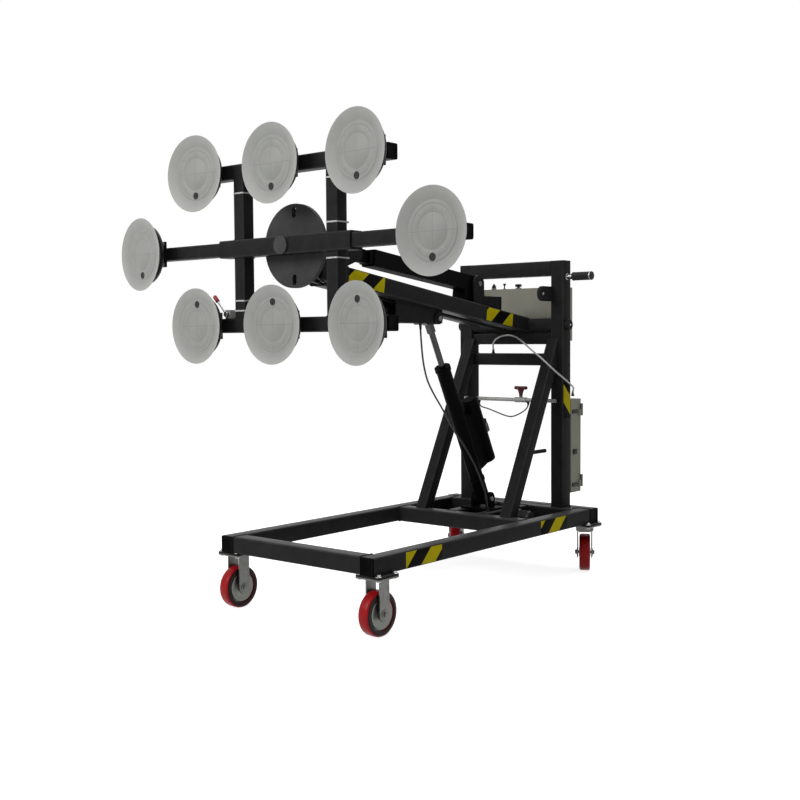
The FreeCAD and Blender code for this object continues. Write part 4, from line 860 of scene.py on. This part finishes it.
finish_node("head_yoke", PAINT, width=1.2)
finish_node("index_plunger", BRIGHT, width=1.0)
finish_node("rotation_disc", DISC, width=1.5)
finish_node("rack_plumbing", HOSE, width=0.8)
bm = bmesh.new()
for sign in SIDES:
    z = RACK_Z + sign * ROW
    tube(bm, (-RACK_HALF_WIDTH, RACK_Y, z), (RACK_HALF_WIDTH, RACK_Y, z), RACK_TUBE)
    low, high = RACK_Z + sign * HALF_TUBE, z - sign * RACK_TUBE / 2
    for x in both(UPRIGHT_X):
        tube(bm, (x, RACK_Y, low), (x, RACK_Y, high), RACK_TUBE, up=Y)
piece("rack_tubes", bm, PAINT, "rack", ["rack_frame"])
bm = bmesh.new()
tube(bm, (-SLEEVE_HALF_WIDTH, ARM_Y, RACK_Z), (SLEEVE_HALF_WIDTH, ARM_Y, RACK_Z), TUBE, wall=SLEEVE_WALL)
piece("arm_sleeve_tube", bm, PAINT, "rack", ["arm_sleeve"])
bm = bmesh.new()
for row in both(ROW):
    for sign in SIDES:
        insert_cap(bm, (sign * RACK_HALF_WIDTH, RACK_Y, RACK_Z + row), (sign, 0, 0), RACK_TUBE, Z)
piece("rack_end_caps", bm, END_CAP, "rack")
bm = bmesh.new()
for x in both(UPRIGHT_X):
    for sign in SIDES:
        for rise in (HALF_TUBE, ROW - RACK_TUBE / 2):
            square_bead(bm, (x, RACK_Y, RACK_Z + sign * rise), X, Y, RACK_TUBE / 2)
piece("rack_welds", bm, PAINT, "rack")


# Cup brackets and arms: each cup has its x, its rise on the rack and its turn in degrees

BRACKET_BOLT_X, BRACKET_BOLT_Z = 58, 36
SOCKET = [(0, 20), (12, 20), (14, 18.6), (14, 13.2)]
CUPS = {"top_left": (-CUP_X, ROW, -3), "top_middle": (0, ROW, 1), "top_right": (CUP_X, ROW, 4),
        "left": (-ARM_CUP_X, 0, 7), "right": (ARM_CUP_X, 0, 0),
        "bottom_left": (-CUP_X, -ROW, 2), "bottom_middle": (0, -ROW, 0), "bottom_right": (CUP_X, -ROW, 7)}


def bracket(bm, x, y, z):
    """Plate and socket behind a cup."""
    slab(bm, (x - PLATE_HALF_WIDTH, y - PLATE_THICKNESS, z - PLATE_HALF_HEIGHT),
         (x + PLATE_HALF_WIDTH, y, z + PLATE_HALF_HEIGHT), radius=1.2)
    lathe(bm, SOCKET, (x, y - PLATE_THICKNESS, z), FRONT, steps=40)


def bracket_bolts(bm, x, y, z):
    for dx in both(BRACKET_BOLT_X):
        for dz in both(BRACKET_BOLT_Z):
            bolt(bm, (x + dx, y - PLATE_THICKNESS, z + dz), FRONT, across=10.0, head=3.5)


plates, bolts = bmesh.new(), bmesh.new()
for x, rise, _ in CUPS.values():
    if rise:
        bracket(plates, x, RACK_FRONT, RACK_Z + rise)
        bracket_bolts(bolts, x, RACK_FRONT, RACK_Z + rise)
piece("rack_cup_brackets", plates, PAINT, "rack", ["cup_brackets"])
piece("rack_bracket_bolts", bolts, BRIGHT, "rack")
for sign, side in NAMED_SIDES:
    bm = bmesh.new()
    tube(bm, (sign * ARM_INNER, ARM_Y, RACK_Z), (sign * ARM_OUTER, ARM_Y, RACK_Z), ARM_TUBE, radius=5.0)
    bracket(bm, sign * ARM_CUP_X, ARM_FRONT, RACK_Z)
    piece(side + "_arm_tube", bm, PAINT, side + "_arm", [side + "_arm"])
    bm = bmesh.new()
    insert_cap(bm, (sign * ARM_OUTER, ARM_Y, RACK_Z), (sign, 0, 0), ARM_TUBE, Z)
    piece(side + "_arm_cap", bm, END_CAP, side + "_arm")
    bm = bmesh.new()
    bracket_bolts(bm, sign * ARM_CUP_X, ARM_FRONT, RACK_Z)
    piece(side + "_arm_bolts", bm, BRIGHT, side + "_arm")


# Suction cups, drawn about the ball's centre

CUP_PAD = [(18.2, 100), (26, 100), (28.5, 102), (31.5, 111), (36.5, 122), (40.2, 130), (41.4, 131),
           (42, 130.4), (39.6, 124), (35.8, 113), (33.0, 103), (31.8, 96), (31.2, 93), (30.8, 91.5),
           (31.6, 90.2), (32.3, 88.6), (32.4, 79.4), (32.1, 78.5), (32.4, 77.6), (32.4, 55.4),
           (32.0, 54.5), (32.4, 53.6), (32.4, 0)]
CUP_BACK = [(-13, 0), (-12.2, 4.5), (-9.2, 9.2), (-4.5, 12.2), (0, 13), (4.5, 12.2), (8, 9.8), (9, 10.5),
            (9, 17), (11.4, 24), (12, 60), (11, 76), (4, 79), (2.4, 82), (2, 96), (3, 101), (6, 104),
            (13, 107), (16.4, 107), (18.2, 105), (18.2, 0)]
CUP_NIPPLE = [(0, 8), (2, 8), (3, 6), (6, 6), (6, 4)]
CUP_PORT = [(31.5, 12.2), (32.9, 12.2), (33.4, 11.4), (33.2, 9.6), (32.6, 8.8), (32.6, 0)]
BACK_BOLTS, BACK_BOLT_RADIUS, BACK_FACE, PORT_RADIUS = 4, 90, -2, 75
for name, (x, rise, turn) in CUPS.items():
    front = RACK_FRONT if rise else ARM_FRONT
    body = "cup_" + name
    place = Matrix.Translation(mm(x, front - CUP_AHEAD, RACK_Z + rise))
    place = place @ Matrix.Rotation(math.radians(-turn), 4, "Z")
    bm = bmesh.new()
    lathe(bm, CUP_PAD, (0, 0, 0), FRONT, steps=96)
    piece(body + "_pad", bm, RUBBER, body, [body], place, sharp=50)
    bm = bmesh.new()
    lathe(bm, CUP_BACK, (0, 0, 0), FRONT, steps=72)
    port_side = 1 if rise < 0 else -1
    for i in range(BACK_BOLTS):
        angle = (i + 0.5) * 2 * math.pi / BACK_BOLTS
        at = (BACK_BOLT_RADIUS * math.cos(angle), BACK_FACE, BACK_BOLT_RADIUS * math.sin(angle))
        bolt(bm, at, Y, across=9.0, head=3.0)
    lathe(bm, CUP_NIPPLE, (0, BACK_FACE, port_side * BACK_BOLT_RADIUS), Y, steps=20)
    piece(body + "_back", bm, BACK, body, (), place)
    bm = bmesh.new()
    lathe(bm, CUP_PORT, (0, 0, port_side * PORT_RADIUS), FRONT, steps=32)
    piece(body + "_port", bm, PLASTIC, body, (), place)


# Release lever; its hub's place from front to back comes from the frame

HUB_X, HUB_Z, HUB_HALF = -285, 1046.2, 5
LEAN = math.radians(43)
LEVER_HUB = [(-HUB_HALF, 4.2), (-HUB_HALF, 8.4), (-4.2, 9), (4.2, 9), (HUB_HALF, 8.4), (HUB_HALF, 4.2)]
LEVER_ROD = [(7, 3.5), (64, 3.5), (64, 0)]
LEVER_KNOB = [(60, 3.6), (60, 6.0), (61.5, 7.2), (64, 7.5), (84, 7.5), (87, 6.2), (88, 3.5), (88, 0)]
lever_along = (-math.sin(LEAN), 0, math.cos(LEAN))
lever_low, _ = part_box("release_lever")
hub = (HUB_X, lever_low.y / MM + HUB_HALF, HUB_Z)
bm = bmesh.new()
lathe(bm, LEVER_HUB, hub, Y, steps=28, closed=True)
lathe(bm, LEVER_ROD, hub, lever_along, steps=20)
piece("release_rod", bm, BRIGHT, "release_lever", ["release_lever"])
bm = bmesh.new()
lathe(bm, LEVER_KNOB, hub, lever_along, steps=28)
piece("release_knob", bm, RED, "release_lever")


# Cable ties on the uprights

TIES = ((-UPRIGHT_X, (1457, 1091, 1057)), (UPRIGHT_X, (1472, 1331, 1217)))
TIE_Y, TIE_HALF_WIDTH, TIE_SIZE, TIE_WALL = -695.8, 2.4, (52.4, 61.0), 1.1
TIE_HEAD_LOW, TIE_HEAD_HIGH = Vector((-30.2, -712, -3.6)), Vector((-25.6, -704, 3.6))
bm = bmesh.new()
for x, rows in TIES:
    for z in rows:
        tube(bm, (x, TIE_Y, z - TIE_HALF_WIDTH), (x, TIE_Y, z + TIE_HALF_WIDTH), TIE_SIZE, up=Y, radius=6.5,
             wall=TIE_WALL)
        at = Vector((x, 0, z))
        slab(bm, at + TIE_HEAD_LOW, at + TIE_HEAD_HIGH, radius=0.8)
piece("upright_ties", bm, HOSE, "rack")


# Hazard tapes: each row gives a name, a start, a length and how far the bands are shifted

TAPE_HEIGHT = 52
TAPE_LOW = -TAPE_HEIGHT / 2
RAIL_TAPES = (("front", -536, 192, 71), ("rear", 272, 187, 98))
BOOM_TAPES = (("front", 1130, 188, 26), ("rear", 316, 182, 40))
POST_TAPE_Y, POST_TAPE_LOW, POST_TAPE_LENGTH = 646, 630, 150
POST_TAPE_SHIFTS = {1: 139, -1: 60}


def tape(name, corner, along, up, length, body, shift):
    """A strip with rounded corners; its own length carries the bands, which shift moves along it."""
    corner_radius = 2.0
    rims = ((1.0, -0.1), (1.0, 0.25), (0.995, 0.35))
    along, up = Vector(along), Vector(up)
    bm = bmesh.new()
    points, _ = square_ring(length * MM, TAPE_HEIGHT * MM, corner_radius * MM)
    offset = Vector((length / 2 + shift, TAPE_HEIGHT / 2, 0)) * MM
    loft(bm, [[Vector((a, b, 0)) * share + offset + Vector((0, 0, height * MM)) for a, b in points]
              for share, height in rims])
    place = Matrix((along, up, along.cross(up))).transposed().to_4x4()
    place.translation = mm(*corner) - along * (shift * MM)
    piece(name, bm, TAPE, body, (), place)


for sign, side in ((1, "near"), (-1, "far")):
    for part, y, length, shift in RAIL_TAPES:
        start = y if sign > 0 else y + length
        tape(f"rail_tape_{part}_{side}", (sign * RAIL_OUTER, start, BASE_Z + TAPE_LOW), (0, sign, 0), Z,
             length, "chassis", shift)
    for part, reach, length, shift in BOOM_TAPES:
        start = reach if sign > 0 else reach - length
        tape(f"boom_tape_{part}_{side}", on_boom(sign * (BOOM_X + HALF_TUBE), start, TAPE_LOW),
             (0, sign * COS, -sign * SIN), BOOM_UP, length, "boom", shift)
    start = POST_TAPE_LOW if sign > 0 else POST_TAPE_LOW + POST_TAPE_LENGTH
    tape(f"post_tape_{side}", (sign * POST_OUTER, POST_TAPE_Y, start), (0, 0, sign), FRONT, POST_TAPE_LENGTH,
         "chassis", POST_TAPE_SHIFTS[sign])


# Casters

SWIVEL_TURN = math.radians(30.7)
FORK_HALF_WIDTH, BEARING_X = 31, 22
PAD_BOLT_APART, PLATE_BOTTOM = 40, 190
HALF_TREAD = [(13.5, 56.2), (21.4, 56.2), (22, 58), (22, 65), (21, 70), (18.4, 73.4), (14, 75), (5, 75)]
HALF_CORE = [(23, 6.4), (23, 17), (21.8, 19), (19.4, 23), (18.0, 32), (18.6, 42), (19.8, 48.5), (19.2, 51),
             (14, 51.8), (13.4, 56.4)]
BEARING = [(0, 8), (0, 17.5), (0.8, 18), (1.6, 17), (1.2, 12), (1.6, 9), (1.6, 8)]
PAD_NUT = [(0, 7.5), (3, 7.5), (3.6, 6.9), (3.6, 0)]


def ring_of(half):
    """A closed wheel ring from its half outline."""
    bm = bmesh.new()
    whole = half + [(-along, radius) for along, radius in reversed(half)]
    lathe(bm, whole, (0, 0, 0), X, steps=72, closed=True)
    return bm


def wheel(name, place):
    piece(name + "_tread", ring_of(HALF_TREAD), TREAD, name, [name], place, sharp=50)
    piece(name + "_core", ring_of(HALF_CORE), CORE, name, (), place)
    bm = bmesh.new()
    for sign in SIDES:
        lathe(bm, BEARING, (sign * BEARING_X, 0, 0), (sign, 0, 0), steps=36)
    piece(name + "_bearing", bm, BRIGHT, name, (), place)


def pad_bolts(name, x, y):
    bm = bmesh.new()
    for dx in both(PAD_BOLT_APART):
        for dy in both(PAD_BOLT_APART):
            bolt(bm, (x + dx, y + dy, BASE_BOTTOM), Z, across=12.0, head=6.0)
            lathe(bm, PAD_NUT, (x + dx, y + dy, PLATE_BOTTOM), DOWN, steps=6)
    piece(name, bm, BRIGHT, "chassis")


for end, y in (("front", -CASTER_Y), ("rear", CASTER_Y)):
    for sign, side in NAMED_SIDES:
        name = f"wheel_{end}_{side}"
        wheel_low, wheel_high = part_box(name)
        place = Matrix.Translation((wheel_low + wheel_high) / 2)
        if end == "rear":
            place = place @ Matrix.Rotation(SWIVEL_TURN, 4, "Z")
        wheel(name, place)
        bm = bmesh.new()
        for out in SIDES:
            bolt(bm, (out * FORK_HALF_WIDTH, 0, 0), (out, 0, 0), across=17.0, head=6.5)
        fork = "chassis" if end == "front" else "swivel_" + side
        piece(f"axle_nuts_{end}_{side}", bm, STEEL, fork, (), place)
        pad_bolts(f"plate_bolts_{end}_{side}", sign * RAIL_X, y)
finish_node("caster_brackets", STEEL, width=0.8)
for _, side in NAMED_SIDES:
    finish_node("swivel_fork_" + side, STEEL, width=0.8)
    finish_node("brake_pedal_" + side, STEEL, width=0.8)


# Floor and light

FLOOR = 14.0
FLOOR_GLOW = 0.82
WORLD_LIGHT = 0.25
WHITE = (1.0, 1.0, 1.0, 1.0)


def seen(tree):
    """1 for rays that show the background itself, in the view or through gloss and glass."""
    rays = add(tree, "LightPath").outputs
    direct = maths(tree, "MAXIMUM", rays["Is Camera Ray"], rays["Is Glossy Ray"])
    return maths(tree, "MAXIMUM", direct, rays["Is Transmission Ray"])


def lamp(name, at, target, size, power):
    light = bpy.data.lights.new(name, "AREA")
    light.size = size
    light.energy = power
    obj = bpy.data.objects.new(name, light)
    obj.location = at
    obj.rotation_euler = (Vector(target) - Vector(at)).to_track_quat("-Z", "Y").to_euler()
    scene.collection.objects.link(obj)


floor_mesh = bpy.data.meshes.new("floor")
floor_mesh.from_pydata([(-FLOOR, -FLOOR, 0), (FLOOR, -FLOOR, 0), (FLOOR, FLOOR, 0), (-FLOOR, FLOOR, 0)],
                       [], [(0, 1, 2, 3)])
floor = bpy.data.objects.new("floor", floor_mesh)
scene.collection.objects.link(floor)
ground = bpy.data.materials.new("floor_white")
ground.use_nodes = True
tree = ground.node_tree
matt = tree.nodes["Principled BSDF"].inputs
matt["Base Color"].default_value = (0.8, 0.8, 0.8, 1.0)
matt["Roughness"].default_value = 0.9
matt["Specular IOR Level"].default_value = 0.0
matt["Emission Color"].default_value = WHITE
tree.links.new(maths(tree, "MULTIPLY", seen(tree), FLOOR_GLOW), matt["Emission Strength"])
floor_mesh.materials.append(ground)

world = bpy.data.worlds.new("studio")
scene.world = world
world.use_nodes = True
tree = world.node_tree
sky = tree.nodes["Background"].inputs
sky["Color"].default_value = WHITE
glow = maths(tree, "MULTIPLY", seen(tree), 1.0 - WORLD_LIGHT)
tree.links.new(maths(tree, "ADD", glow, WORLD_LIGHT), sky["Strength"])

lamp("key", at=(-1.6, -4.4, 3.4), target=(0, -0.3, 0.9), size=2.6, power=150.0)
lamp("top", at=(0.3, 0.3, 4.6), target=(0, 0, 0.6), size=3.0, power=95.0)
scene.view_settings.view_transform = "Standard"
